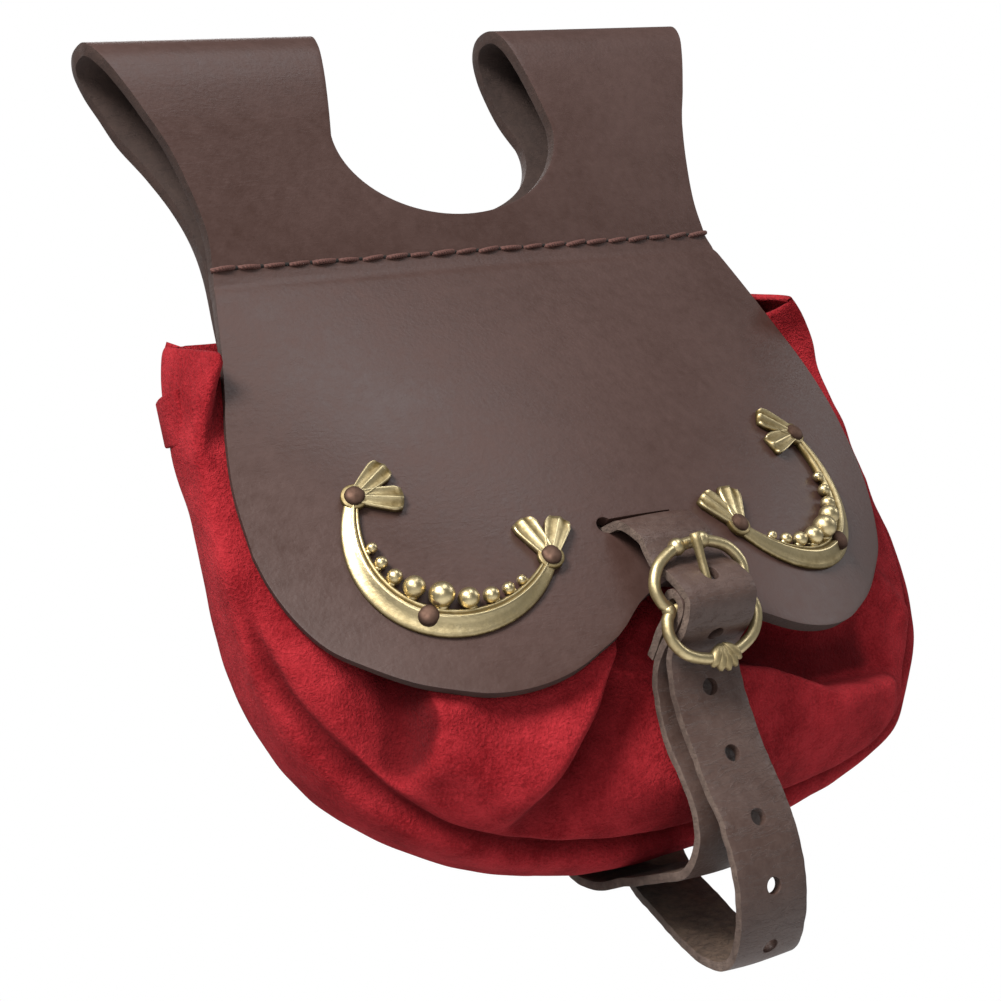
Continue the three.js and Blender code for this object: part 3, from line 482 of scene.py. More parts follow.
cut_and_round(leather, cutter_from("slit_tool", slit_tool), 0.55, 3, use_self=True)
finish_piece(leather, "brown_leather", "leather_body")
# The thread is a waxed reddish-brown linen in saddle stitches through the flap and the back
# panel, some 6.4 mm long. Each stitch dips into its awl hole at both ends.
thread, twine, twine_shader, twine_place = new_material("waxed_thread", roughness=0.7)
twist = add(twine, "ShaderNodeTexWave", {"Scale": 900.0, "Distortion": 1.5}, bands_direction="DIAGONAL")
wire(twine, (twine_place, "Object", twist, "Vector"))
two_tones(twine, twine_shader, twist, "Fac", (0, 1), (0.062, 0.022, 0.016), (0.13, 0.05, 0.038))
raised(twine, twine_shader, twist, "Fac", 0.7, 0.0002)

stitching = bpy.data.node_groups.new("saddle_stitching", "GeometryNodeTree")
stitch_inputs = (
    ("Start", "NodeSocketVector", (0, 0, 0)),
    ("End", "NodeSocketVector", (0.1, 0, 0)),
    ("Count", "NodeSocketInt", 22),
    ("Stitch Length", "NodeSocketFloat", 0.0052),
    ("Thread Radius", "NodeSocketFloat", 0.0005),
    ("Stand Off", "NodeSocketFloat", -0.001),
    ("Seed", "NodeSocketInt", 7),
    ("Thread", "NodeSocketMaterial", None),
)
stitching.interface.new_socket("Geometry", in_out="INPUT", socket_type="NodeSocketGeometry")
for label, kind, value in stitch_inputs:
    socket = stitching.interface.new_socket(label, in_out="INPUT", socket_type=kind)
    if value is not None:
        socket.default_value = value
stitching.interface.new_socket("Geometry", in_out="OUTPUT", socket_type="NodeSocketGeometry")
s_in = stitching.nodes.new("NodeGroupInput")
s_out = stitching.nodes.new("NodeGroupOutput")
seam_line = stitching.nodes.new("GeometryNodeCurvePrimitiveLine")
seam_points = add(stitching, "GeometryNodeCurveToPoints", mode="COUNT")
half_length = add(stitching, "ShaderNodeMath", {1: 0.5}, operation="MULTIPLY")
less_half = add(stitching, "ShaderNodeMath", {1: -0.5}, operation="MULTIPLY")
bow = add(stitching, "GeometryNodeCurveQuadraticBezier", {"Resolution": 7})
bow_start, bow_middle, bow_end = (stitching.nodes.new("ShaderNodeCombineXYZ") for _ in range(3))
section = add(stitching, "GeometryNodeCurvePrimitiveCircle", {"Resolution": 7})
one_stitch = add(stitching, "GeometryNodeCurveToMesh", {"Fill Caps": True})
lean_reach = {"Min": (-0.05, -0.16, -0.05), "Max": (0.05, 0.02, 0.05)}
lean_turn = add(stitching, "FunctionNodeRandomValue", lean_reach, data_type="FLOAT_VECTOR")
size_change = add(stitching, "FunctionNodeRandomValue", {2: 0.88, 3: 1.08}, data_type="FLOAT")
sew = stitching.nodes.new("GeometryNodeInstanceOnPoints")
realize = stitching.nodes.new("GeometryNodeRealizeInstances")
dye = stitching.nodes.new("GeometryNodeSetMaterial")
smooth = stitching.nodes.new("GeometryNodeSetShadeSmooth")
wire(
    stitching,
    (s_in, "Start", seam_line, "Start"), (s_in, "End", seam_line, "End"),
    (seam_line, 0, seam_points, 0), (s_in, "Count", seam_points, "Count"),
    (s_in, "Stitch Length", half_length, 0), (s_in, "Stitch Length", less_half, 0),
    (less_half, 0, bow_start, "X"), (half_length, 0, bow_end, "X"), (s_in, "Stand Off", bow_middle, "Y"),
    (bow_start, 0, bow, "Start"), (bow_middle, 0, bow, "Middle"), (bow_end, 0, bow, "End"),
    (s_in, "Thread Radius", section, "Radius"), (bow, 0, one_stitch, "Curve"),
    (section, 0, one_stitch, "Profile Curve"), (s_in, "Seed", lean_turn, "Seed"),
    (s_in, "Seed", size_change, "Seed"), (seam_points, "Points", sew, "Points"),
    (one_stitch, 0, sew, "Instance"), (lean_turn, 0, sew, "Rotation"), (size_change, 1, sew, "Scale"),
    (sew, 0, realize, 0), (realize, 0, dye, "Geometry"), (s_in, "Thread", dye, "Material"),
    (dye, 0, smooth, "Geometry"), (smooth, 0, s_out, 0),
)


def sew_row(name, ends, values):
    """One row of stitches between two places in millimetres"""
    piece = bpy.data.objects.new(name, bpy.data.meshes.new(name))
    scene.collection.objects.link(piece)
    rows = change(piece, "stitches", "NODES", node_group=stitching)
    start, end = (tuple((np.array(p, float) + stitch_middle) * millimetre) for p in ends)
    values = {"Start": start, "End": end, **values}
    for item in stitching.interface.items_tree:
        if item.in_out == "INPUT" and item.name in values:
            rows[item.identifier] = values[item.name]
    apply_modifiers(piece)
    finish_piece(piece, "brown_leather")


stitch_reach = stitch_half_width - 2.4
back_reach_less = 2.5
stitch_count = 22
half_pitch = stitch_reach / (stitch_count - 1)
# Painted shade: a near-black dot at each awl hole between the stitches stands for the shade inside the
# hole
awl_hole_painted_shade = new_material("awl_hole_painted_shade", base_color=(0.006, 0.004, 0.003, 1), roughness=0.95)[0]
stitch_sizes = {"Count": stitch_count, "Stitch Length": 0.0056, "Thread Radius": 0.0006, "Seed": 7}
hole_shade_sizes = {"Count": stitch_count - 1, "Stitch Length": 0.0009, "Thread Radius": 0.0005, "Seed": 3}
for seam_side, face_y, sunk, rise, less in (
    ("front", 0.0, 0.3, -0.0015, 0), ("back", back_face_y, -0.3, 0.0015, back_reach_less),
):
    reach = stitch_reach - less
    ends = [(side * reach, face_y + sunk, 0.3) for side in (-1, 1)]
    sew_row(f"stitches_{seam_side}", ends, {**stitch_sizes, "Stand Off": rise, "Thread": thread})
    ends = [(side * (reach - half_pitch), face_y + sunk * 0.7, 0.3) for side in (-1, 1)]
    sew_row(f"awl_hole_shade_dots_{seam_side}", ends, {**hole_shade_sizes, "Stand Off": 0.0, "Thread": awl_hole_painted_shade})


# The bag is soft suede of a red dye, sewn to the back panel and gathered into a round body. Its
# front is pleated under the lobes, and a seam runs round near its edge with a full roll outside.
suede_thickness = 1.5
bag_half_width = 88.5
bag_drop = 142.0
bag_side_depth = 28.0
bag_back_y = 8.7
bag_mouth_drop = 15.0
bag_front_mouth_drop = 21.0
bag_belly_depth = 40.5
bag_focus_drop = 82.0
bag_flap_clearance = 2.2
bag_belly_curve = 0.0022
bag_rest_gap = 0.7
bag_free_fall = 14.0
side_hollow = 2.0
strap_thickness = 2.0
tail_half_width = 15.0
tail_clearance = 1.4
# at along the seam; across, down and forward of the seam; spread, roll and tuck of the side
bag_seam = np.array((
    (0.0, 0.9, 0.175, 0.82, 0.0, 0.0, 0.07),
    (0.07, 0.94, 0.24, 0.6, 0.04, 0.03, 0.045),
    (0.13, 0.972, 0.3, 0.34, 0.052, 0.04, -0.02),
    (0.22, 0.992, 0.39, 0.4, 0.055, 0.06, -0.14),
    (0.33, 1.0, 0.5, 0.55, 0.045, 0.05, -0.18),
    (0.43, 0.98, 0.6, 0.66, 0.07, 0.08, -0.13),
    (0.52, 0.93, 0.69, 0.74, 0.1, 0.13, -0.05),
    (0.6, 0.865, 0.77, 0.8, 0.13, 0.17, 0.0),
    (0.68, 0.765, 0.852, 0.87, 0.14, 0.19, 0.02),
    (0.77, 0.62, 0.921, 0.9, 0.215, 0.18, 0.04),
    (0.86, 0.42, 0.972, 0.88, 0.2, 0.2, 0.08),
    (0.93, 0.21, 0.994, 0.82, 0.09, 0.24, 0.1),
    (1.0, 0.0, 1.0, 0.79, 0.0, 0.25, 0.11),
))
# Folds on the front: a line of places (x, z), which side its valley lies on, how far its ridge
# stands out and how broad it is, how deep the valley is, how wide the wall between them and how
# broad the slope beyond. Where a line runs across, +1 is above it.
bag_folds = (
    (((-57.5, -92), (-57, -103), (-57.5, -110), (-60, -116)), -1, 5.0, 12.0, 12.0, 2.8, 7.5),
    (((-17, -92), (-18, -103), (-25, -113), (-36, -123), (-44, -129)), 1, 6.0, 13.0, 7.0, 4.6, 11.0),
    (((12, -112), (26, -115), (42, -121), (62, -121)), 1, 4.5, 11.0, 10.0, 4.5, 11.0),
    (((68, -94), (80, -106)), 1, 3.5, 5.0, 0.0, 6.0, 5.0),
)
fold_end_fade = 5.0
fold_limit = 0.85
# Painted shade: the suede's colour darkens where a fold's valley is deeper than the first number, and is
# fully dark the second number deeper still
fold_painted_shade_from = 2.5
fold_painted_shade_over = 6.0
seam_shift = 3.2
seam_overhang = 2.6
seam_draw = 3.75
groove_half_width = 3.6
suede_swell = 1.0
suede_ripple = 0.3
side_count = 30
back_count = 18
front_count = 100
seam_row_count = 150


def smoothstep(x, low, high):
    t = np.clip((x - low) / (high - low), 0, 1)
    return t * t * (3 - 2 * t)


def seam_column(at, column):
    """One column of the seam's table, rounded between its rows"""
    fine = np.linspace(0, 1, 201)
    values = np.interp(fine, bag_seam[:, 0], bag_seam[:, column])
    padded = np.concatenate([np.full(8, values[0]), values, np.full(8, values[-1])])
    soft = np.convolve(padded, np.hanning(19)[1:-1] / np.hanning(19).sum(), "valid")
    keep = smoothstep(fine, 0.0, 0.08)
    return np.interp(at, fine, values * (1 - keep) + soft[: len(fine)] * keep)


def seam_place(at, side):
    spread = seam_column(at, 4) if side > 0 else 0.0
    return np.array((
        side * (seam_column(at, 1) + spread) * bag_half_width,
        -seam_column(at, 3) * bag_side_depth,
        -seam_column(at, 2) * bag_drop,
    ))


def flap_back_at(x, z):
    """How far forward the flap's back face lies over places on the bag, and how far past its edge"""
    u, v = x.copy(), -z.copy()
    for _ in range(8):
        p = off_flap(u, v, np.full_like(u, -leather_thickness))
        u += x - p[:, 0]
        v = np.clip(v + p[:, 2] - z, 1, flap_length * 1.3)
    edge = smooth_table(flap_lobes, np.minimum(np.abs(u) / flap_half_width, 1)) * flap_length
    return off_flap(u, v, np.full_like(u, -leather_thickness))[:, 1], v - edge


def bag_front_at(x, z):
    belly = -bag_belly_depth + bag_belly_curve * x * x
    beside_tail = np.exp(-((x / tail_half_width) ** 4)) * (strap_thickness + tail_clearance)
    tail = beside_tail * smoothstep(-z, 30, 50) * smoothstep(z, -108, -88)
    drape = flap_back_at(x, z)[0] + bag_flap_clearance + tail
    soft = 2.0
    return np.minimum(np.logaddexp(belly / soft, drape / soft) * soft, 0)


def fold_height(x, z):
    """How far the folds push the front out, at places given by x and z"""
    total = np.zeros_like(x)
    for line, toward, ridge, broad, valley, wall, slope in bag_folds:
        nearest = np.full_like(x, 1e9)
        height = np.zeros_like(x)
        for (x1, z1), (x2, z2) in zip(line, line[1:]):
            length = math.hypot(x2 - x1, z2 - z1)
            dx, dz = (x2 - x1) / length, (z2 - z1) / length
            run = (x - x1) * dx + (z - z1) * dz
            past = np.maximum(np.maximum(-run, run - length), 0)
            aside = (dx * (z - z1) - dz * (x - x1)) * toward
            drop = (1 - np.cos(np.clip(aside / wall, 0, 1) * math.pi)) / 2
            crest = np.exp(-((np.minimum(aside, 0) / broad) ** 2)) * ridge
            hollow = np.exp(-((np.maximum(aside - wall, 0) / slope) ** 2)) * valley
            shape = (crest * (1 - drop) - hollow * drop) * np.exp(-((past / fold_end_fade) ** 2))
            gap = np.hypot(aside, past)
            height = np.where(gap < nearest, shape, height)
            nearest = np.minimum(gap, nearest)
        total += height
    return total


def even_places(line, count):
    """The same line with places at even distances"""
    run = np.concatenate(([0], np.cumsum(np.linalg.norm(np.diff(line, axis=0), axis=1))))
    at = np.linspace(0, run[-1], count)
    return np.stack([np.interp(at, run, line[:, k]) for k in range(3)], 1)


def soften_line(line, sigma):
    """The same line with its corners rounded, its ends kept"""
    if sigma < 0.3:
        return line
    reach = int(math.ceil(sigma * 3))
    weight = np.exp(-((np.arange(-reach, reach + 1) / sigma) ** 2) / 2)
    weight /= weight.sum()
    before = 2 * line[0] - line[reach:0:-1]
    after = 2 * line[-1] - line[-2 : -reach - 2 : -1]
    long = np.vstack([before, line, after])
    return np.stack([np.convolve(long[:, k], weight, "valid") for k in range(3)], 1)


def bag_row(at, side):
    """One loop of the bag, from the middle of the front over the seam to the middle of the back, with
    the painted shade at each place
    """
    seam = seam_place(at, side)
    ahead = seam_place(min(at + 0.04, 1), side) - seam_place(max(at - 0.04, 0), side)
    out = np.array((-ahead[2] * side, 0, ahead[0] * side))
    out = out / np.linalg.norm(out)
    out = out + (np.array((0, 0, -1.0)) - out) * smoothstep(at, 0.93, 1.0)
    sewn = smoothstep(at, 0.3, 0.5)
    edge = seam + out * seam_column(at, 6) * bag_side_depth
    seam = seam + out * seam_shift * sewn
    focus = smoothstep(at, 0, 0.8)
    front_focus_drop = bag_front_mouth_drop + (bag_focus_drop - bag_front_mouth_drop) * focus
    back_focus_drop = bag_mouth_drop + (bag_focus_drop - bag_mouth_drop) * focus
    front_focus = np.array((0, 0, -front_focus_drop))
    back_focus = np.array((0, bag_back_y, -back_focus_drop))
    rise_place = 0.03 + 0.27 * smoothstep(at, 0.12, 0.75)
    s = np.linspace(1, 0, 220) ** 1.6
    row = seam + (front_focus - seam) * s[:, None]
    rise = np.sin(np.minimum(s / rise_place, 1) * math.pi / 2) ** 0.85
    full = bag_front_at(row[:, 0], row[:, 2])
    folds = fold_height(row[:, 0], row[:, 2]) * smoothstep(s, 0.02, 0.12) * smoothstep(at, 0.1, 0.3)
    bulge = (seam[1] - full) * rise
    # no fold is drawn in further than the seam
    deepest = fold_limit * np.maximum(bulge, 0.5)
    folds = np.where(folds < 0, deepest * np.tanh(folds / deepest), folds)
    row[:, 1] = seam[1] - bulge - folds
    cover, past_edge = flap_back_at(row[:, 0], row[:, 2])
    row[:, 1] = np.maximum(row[:, 1], cover + bag_rest_gap - bag_free_fall * smoothstep(past_edge, 0, 7))
    swell = seam_overhang * np.sin(np.minimum(s / (rise_place * 1.4), 1) * math.pi)
    row += out * (sewn * swell)[:, None]
    edge[2] += (1 - smoothstep(at, 0, 0.16)) * (-bag_mouth_drop - seam[2])
    edge[1] = bag_back_y
    t = np.linspace(0, 1, 60)
    wall = seam + (edge - seam) * t[:, None]
    roll = (seam_column(at, 5) * bag_side_depth - seam_shift * 0.5 * sewn) * np.sin(t * math.pi) ** 0.8
    wall += out * roll[:, None]
    wall[:, 1] = seam[1] + (bag_back_y - seam[1]) * t - side_hollow * sewn * np.sin(t * math.pi) ** 2
    behind = edge + (back_focus - edge) * np.linspace(0, 1, back_count)[:, None]
    round_off = 3.4 - 2.2 * smoothstep(at, 0.25, 0.45)
    loop = np.vstack([even_places(row, front_count), even_places(wall, side_count)[1:]])
    loop = soften_line(loop, round_off)
    # the seam is drawn in between the front and the side, which makes the groove along it
    run = np.concatenate(([0], np.cumsum(np.linalg.norm(np.diff(loop, axis=0), axis=1))))
    past_seam = run - run[front_count - 1]
    near = np.exp(-((past_seam / groove_half_width) ** 2)) + 0.6 * np.exp(-((past_seam / 1.4) ** 2))
    inwards = np.array((0, 0.62, 0)) - out * 0.78
    loop += inwards * (sewn * seam_draw * near)[:, None]
    # Painted shade for the suede's colour: darker in the fold valleys on the front and along the seam
    # groove, none on the back
    depth = -fold_height(loop[:, 0], loop[:, 2]) - fold_painted_shade_from
    sunk = np.clip(depth / fold_painted_shade_over, 0, 1) * (past_seam < 0)
    sunk = np.maximum(sunk, sewn * np.exp(-((past_seam / 2.2) ** 2)))
    return np.vstack([loop, behind[1:]]), np.concatenate([sunk, np.zeros(back_count - 1)])


bag_rows, bag_painted_shade = [], []
for i in range(-seam_row_count, seam_row_count + 1):
    bag_line, sunk = bag_row(1 - abs(i) / seam_row_count, -1 if i < 0 else 1)
    bag_rows.append(bag_line)
    bag_painted_shade.append(sunk)
bag_faces = grid_faces(len(bag_rows), len(bag_rows[0]))
bag = new_piece("pouch_bag", np.array(bag_rows), bag_faces, join=0.05, recess=np.array(bag_painted_shade))
soften = bmesh.new()
soften.from_mesh(bag.data)
inner = [v for v in soften.verts if not v.is_boundary]
every_way = {"use_axis_x": True, "use_axis_y": True, "use_axis_z": True}
for _ in range(2):
    bmesh.ops.smooth_vert(soften, verts=inner, factor=0.5, **every_way)
bmesh.ops.recalc_face_normals(soften, faces=soften.faces)
soften.normal_update()
for v in soften.verts:
    push = noise.noise(v.co * 42) * suede_swell + noise.noise(v.co * 130) * suede_ripple
    v.co += v.normal * push * millimetre * (0.3 if v.is_boundary else 1.0)
soften.to_mesh(bag.data)
soften.free()
bag_middle = Vector((0, -0.02, -0.11))
if sum((p.center - bag_middle).dot(p.normal) for p in bag.data.polygons) < 0:
    bag.data.flip_normals()

suede, nap, nap_shader, nap_place = new_material(
    "red_suede", roughness=0.95, specular_ior_level=0.05, sheen_weight=0.06, sheen_roughness=0.45,
    sheen_tint=(0.9, 0.25, 0.28, 1),
)
nap_tone = use_group(nap, mottle, nap_place, large=95.0, small=1500.0)
nap_colour = two_tones(
    nap, nap_shader, nap_tone, "Mask", (0.37, 0.63), (0.170, 0.007, 0.010), (0.370, 0.024, 0.031)
)
# Painted shade: the recess value darkens the nap towards near black in the fold valleys and the seam
# groove
nap_shade_source = add(nap, "ShaderNodeAttribute", attribute_name="recess")
nap_shade_amount = add(nap, "ShaderNodeMapRange", {"To Max": 0.72})
nap_shaded_colour = add(nap, "ShaderNodeMix", {7: (0.045, 0.002, 0.003, 1)}, data_type="RGBA")
nap_fibre = add(nap, "ShaderNodeTexNoise", {"Scale": 1500.0, "Detail": 3.0, "Roughness": 0.7})
nap_tuft = add(nap, "ShaderNodeTexNoise", {"Scale": 420.0, "Detail": 4.0, "Roughness": 0.65})
nap_sum = add(nap, "ShaderNodeMath", operation="ADD")
wire(
    nap,
    (nap_shade_source, "Fac", nap_shade_amount, "Value"), (nap_shade_amount, 0, nap_shaded_colour, 0), (nap_colour, 2, nap_shaded_colour, 6),
    (nap_shaded_colour, 2, nap_shader, "Base Color"), (nap_place, "Object", nap_fibre, "Vector"),
    (nap_place, "Object", nap_tuft, "Vector"), (nap_fibre, "Fac", nap_sum, 0),
    (nap_tuft, "Fac", nap_sum, 1),
)
raised(nap, nap_shader, nap_sum, 0, 0.9, 0.0009)
bag.data.materials.append(suede)
change(bag, "wall", "SOLIDIFY", thickness=suede_thickness * millimetre, offset=-1)
apply_modifiers(bag)
finish_piece(bag, "red_suede", "suede_bag")
# The side tab is a small turned-over end of the suede. It stands off the left side of the bag,
# where the bag's edge is doubled.
tab_top = -26.5
tab_height = 10.5
tab_depth = 12.0
tab_rows = []
for down in np.linspace(0, 1, 9):
    depth = np.linspace(0, 1, 10)
    x = -(85.4 + 1.1 * np.sin(depth * math.pi) * (1 - 0.4 * down))
    z = tab_top - tab_height * down - 2.0 * depth * down
    tab_rows.append(np.stack([x, 9.4 - tab_depth * depth, z], 1))
tab = new_piece("bag_side_tab", np.array(tab_rows), grid_faces(9, 10))
tab.data.materials.append(suede)
change(tab, "wall", "SOLIDIFY", thickness=suede_thickness * millimetre, offset=0)
change(tab, "soft_edges", "BEVEL", width=0.5 * millimetre, segments=3)
apply_modifiers(tab)
finish_piece(tab, "red_suede")

# The straps are cut from the same brown hide, thinner. The holed one comes out of the slit, goes
# through the buckle and hangs in a loop; the other is folded round the buckle's bar and runs
# under the bag. Their flesh side is rough, and their cut edges are pale and a little fuzzy.
strap_width = 18.0
strap_hole_radius = 1.9
strap_hole_pitch = 14.6
buckle_y = -56.2
buckle_z = -96.6
buckle_wire = 1.3
strap_columns = 9
strap_wobble = 0.35
strap_fray = 0.18
strap_hide = hide_material(
    "strap_hide", (0.050, 0.027, 0.021), (0.088, 0.056, 0.046), 0.44, 1400.0, 110.0, 0.9, 0.00022
)
strap_flesh = hide_material(
    "strap_flesh", (0.030, 0.018, 0.013), (0.120, 0.080, 0.055), 0.95, 500.0, 240.0, 1.6, 0.0006
)
strap_edge = hide_material(
    "strap_edge", (0.060, 0.038, 0.030), (0.180, 0.130, 0.105), 0.9, 900.0, 300.0, 1.4, 0.0004
)


def behind_flap(v, out):
    return off_flap(np.array(0.0), np.array(v), np.array(out)).tolist()


tail_out = -leather_thickness - layer_gap - strap_thickness / 2 - 0.2
hole_strap_line = [
    behind_flap(slit_down - 26, tail_out),
    behind_flap(slit_down - 14, tail_out),
    behind_flap(slit_down - 5.5, tail_out - 0.7),
    behind_flap(slit_down - 1.2, tail_out + 0.7),
    behind_flap(slit_down - 0.1, -leather_thickness / 2),
    behind_flap(slit_down + 0.9, 1.4),
    behind_flap(slit_down + 2.4, 4.6),
    (0, -50.4, -81), (0, -51.5, -84.5), (0, -53.0, -87.4), (0, -58.4, -91.6), (0, -61.6, -96.4),
    (0, -58.4, -101.8), (0, -51, -106.8), (0, -49.6, -113), (0, -49.6, -119), (0, -51.8, -131),
    (0, -55.4, -144.8), (0.2, -55.2, -155), (0.6, -51.6, -165.4), (1.8, -44, -172.6),
    (3.6, -35, -173.4), (6.2, -22, -169), (10.5, -7, -162), (15, 7, -155), (18.5, 14.4, -146),
    (21, 17.2, -136), (22, 17.8, -126),
]
wrap = buckle_wire + 0.5 + strap_thickness / 2
buckle_strap_line = [
    (0, buckle_y + 12.4, buckle_z - 9.2), (0, buckle_y + 8.4, buckle_z - 5.4),
    (0, buckle_y + 4.6, buckle_z - 2.6),
]
for angle in (-15, 30, 75, 120, 165, 205):
    turn_y, turn_z = math.cos(math.radians(angle)) * wrap, math.sin(math.radians(angle)) * wrap
    buckle_strap_line.append((0, buckle_y + turn_y, buckle_z + turn_z))
buckle_strap_line += [
    (0, buckle_y + 2.2, buckle_z - 5.1), (0, buckle_y + 7.6, buckle_z - 8.3), (0, -44.6, -109.4),
    (0, -42.6, -116), (0, -42.6, -123.4), (0, -44.6, -131), (0, -46.7, -139.5), (0, -45, -147),
    (0, -38.4, -152.4), (0, -28, -153.2), (0, -14, -153.4), (0, 0, -153.2), (0, 8, -149.6),
    (0, 11.2, -142.6), (0, 11.2, -130), (0, 11, -110), (0, 10.6, -92),
]


def strap_piece(name, points, rows, seed):
    """A strap swept along its middle line, softly uneven, with its wall behind its outer face"""
    line = smooth_line(points, rows)
    along = np.gradient(line, axis=0)
    out = np.stack([np.zeros(rows), -along[:, 2], along[:, 1]], 1)
    out /= np.linalg.norm(out, axis=1, keepdims=True)
    places = []
    for share in np.linspace(-1, 1, strap_columns):
        wobble = np.array([noise.noise(Vector((i * 0.09, share * 0.7, seed))) for i in range(rows)])
        edge = np.array([noise.noise(Vector((i * 0.25, seed, share))) for i in range(rows)])
        face = line - out * (strap_thickness / 2 + wobble * strap_wobble - 0.25 * share * share)[:, None]
        face[:, 0] += share * strap_width / 2 + edge * strap_fray * abs(share)
        places.append(face)
    piece = new_piece(name, np.stack(places, 1), grid_faces(rows, strap_columns))
    change(piece, "wall", "SOLIDIFY", thickness=strap_thickness * millimetre, **hide_wall)
    for finish in (strap_hide, strap_flesh, strap_edge):
        piece.data.materials.append(finish)
    apply_modifiers(piece)
    return piece, line, out


hole_strap, strap_middle, strap_out = strap_piece("strap_with_holes", hole_strap_line, 330, 3.1)
strap_step = float(np.linalg.norm(np.diff(strap_middle, axis=0), axis=1).mean())
pin_row = int(np.argmin(np.linalg.norm(strap_middle - np.array((0, -58.6, -91.7)), axis=1)))
hole_tool = bmesh.new()
for k in range(8):
    row = pin_row + round(k * strap_hole_pitch / strap_step)
    if row < len(strap_middle) - 10:
        hole = punch(hole_tool, strap_hole_radius, 9.0, 24)
        # the pin draws its own hole out
        bmesh.ops.scale(hole_tool, verts=hole, vec=(1, 1.0 if k else 1.3, 1))
        hole_turn = Vector(strap_out[row]).to_track_quat("Z", "Y").to_matrix().to_4x4()
        hole_place = Matrix.Translation(Vector((strap_middle[row] + stitch_middle) * millimetre))
        bmesh.ops.transform(hole_tool, matrix=hole_place @ hole_turn, verts=hole)
cut_and_round(hole_strap, cutter_from("hole_punches", hole_tool), 0.3, 2)
finish_piece(hole_strap, "strap_leather", "hole_strap")

buckle_strap = strap_piece("strap_of_buckle", buckle_strap_line, 300, 8.4)[0]
slot_tool = bmesh.new()
bmesh.ops.create_cube(slot_tool, size=1.0)
bmesh.ops.scale(slot_tool, verts=slot_tool.verts, vec=Vector((4.6, wrap * 3, wrap * 3.2)) * millimetre)
slot_place = np.array((0, buckle_y - wrap * 0.35, buckle_z + wrap * 0.45)) + stitch_middle
bmesh.ops.translate(slot_tool, verts=slot_tool.verts, vec=Vector(slot_place * millimetre))
cut_and_round(buckle_strap, cutter_from("slot_tool", slot_tool), 0.3, 2)
finish_piece(buckle_strap, "strap_leather", "buckle_strap")


# The crescents are cast brass with a keeled band, a row of balls inside it and a fluted fishtail
# at each end. They are bent a little to lie on the flap, and darkened where no hand rubs them.
crescent_radius = 25.4
crescent_across = 44.0
crescent_down = 77.9
crescent_band = 6.4
crescent_thickness = 1.2
petal_length = 10.6
petal_width = 6.0
ball_radius = 3.1
rivet_head_radius = 2.25
seat_gap = 0.3
crescent_from = 141.8
crescent_to = 326.2
crescent_rivets = (("outer", 141.8, 0.865), ("inner", -33.8, 0.865), ("middle", 234.7, 0.86))
# Where each ball sits along the band, and its size as a share of ball_radius
crescent_balls = (
    (0.19, 0.44), (0.26, 0.52), (0.335, 0.62), (0.42, 0.86), (0.53, 1.0),
    (0.635, 0.82), (0.725, 0.64), (0.8, 0.5), (0.865, 0.4),
)


def brass_material(name, bright, dull, roughness):
    """Cast metal with a faintly pitted skin and patches of tarnish"""
    material, tree, shader, place = new_material(name, metallic=1.0)
    tone = use_group(tree, mottle, place, large=130.0, small=700.0)
    depth = add(tree, "ShaderNodeAttribute", attribute_name="recess")
    tarnish = add(tree, "ShaderNodeMath", operation="ADD")
    two_tones(tree, shader, tarnish, 0, (0.42, 0.95), bright, dull)
    reach = {"From Min": 0.4, "From Max": 0.9, "To Min": roughness, "To Max": roughness + 0.3}
    rough = add(tree, "ShaderNodeMapRange", reach)
    pits = add(tree, "ShaderNodeTexNoise", {"Scale": 900.0, "Detail": 3.0})
    wire(
        tree,
        (tone, "Mask", tarnish, 0), (depth, "Fac", tarnish, 1), (tarnish, 0, rough, "Value"),
        (rough, 0, shader, "Roughness"), (place, "Object", pits, "Vector"),
    )
    raised(tree, shader, pits, "Fac", 0.35, 0.0002)
    return material


cast_brass = brass_material("cast_brass", (0.62, 0.51, 0.29), (0.15, 0.105, 0.04), 0.34)
worn_copper = brass_material("worn_copper", (0.16, 0.095, 0.07), (0.07, 0.042, 0.032), 0.55)


def band_width_at(share):
    return crescent_band * (0.42 + 0.58 * np.sin(share * math.pi) ** 0.8)


def band_outer(share):
    return crescent_radius - 0.9 * math.cos(share * 2 * math.pi) - 0.9


def shape_mesh(parts, name):
    """Joins shapes, each its points, faces and depth of tarnish, into one mesh"""
    points, faces, recess = [], [], []
    for shape_points, shape_faces, shape_recess in parts:
        start = len(points)
        points += [tuple(p) for p in shape_points]
        faces += [tuple(i + start for i in f) for f in shape_faces]
        recess += list(shape_recess)
    piece = new_piece(name, np.array(points), faces, join=0.0001, recess=recess)
    body = bmesh.new()
    body.from_mesh(piece.data)
    bmesh.ops.recalc_face_normals(body, faces=body.faces)
    body.to_mesh(piece.data)
    body.free()
    piece.data.shade_smooth()
    return piece


def closed_rings(rings):
    """Faces of a stack of rings, closed at both ends"""
    n = len(rings[0])
    faces = grid_faces(len(rings), n, around=True)
    faces.append(tuple(range(n))[::-1])
    faces.append(tuple(range((len(rings) - 1) * n, len(rings) * n)))
    return faces


def polar(angle, radius):
    return math.cos(angle) * radius, math.sin(angle) * radius


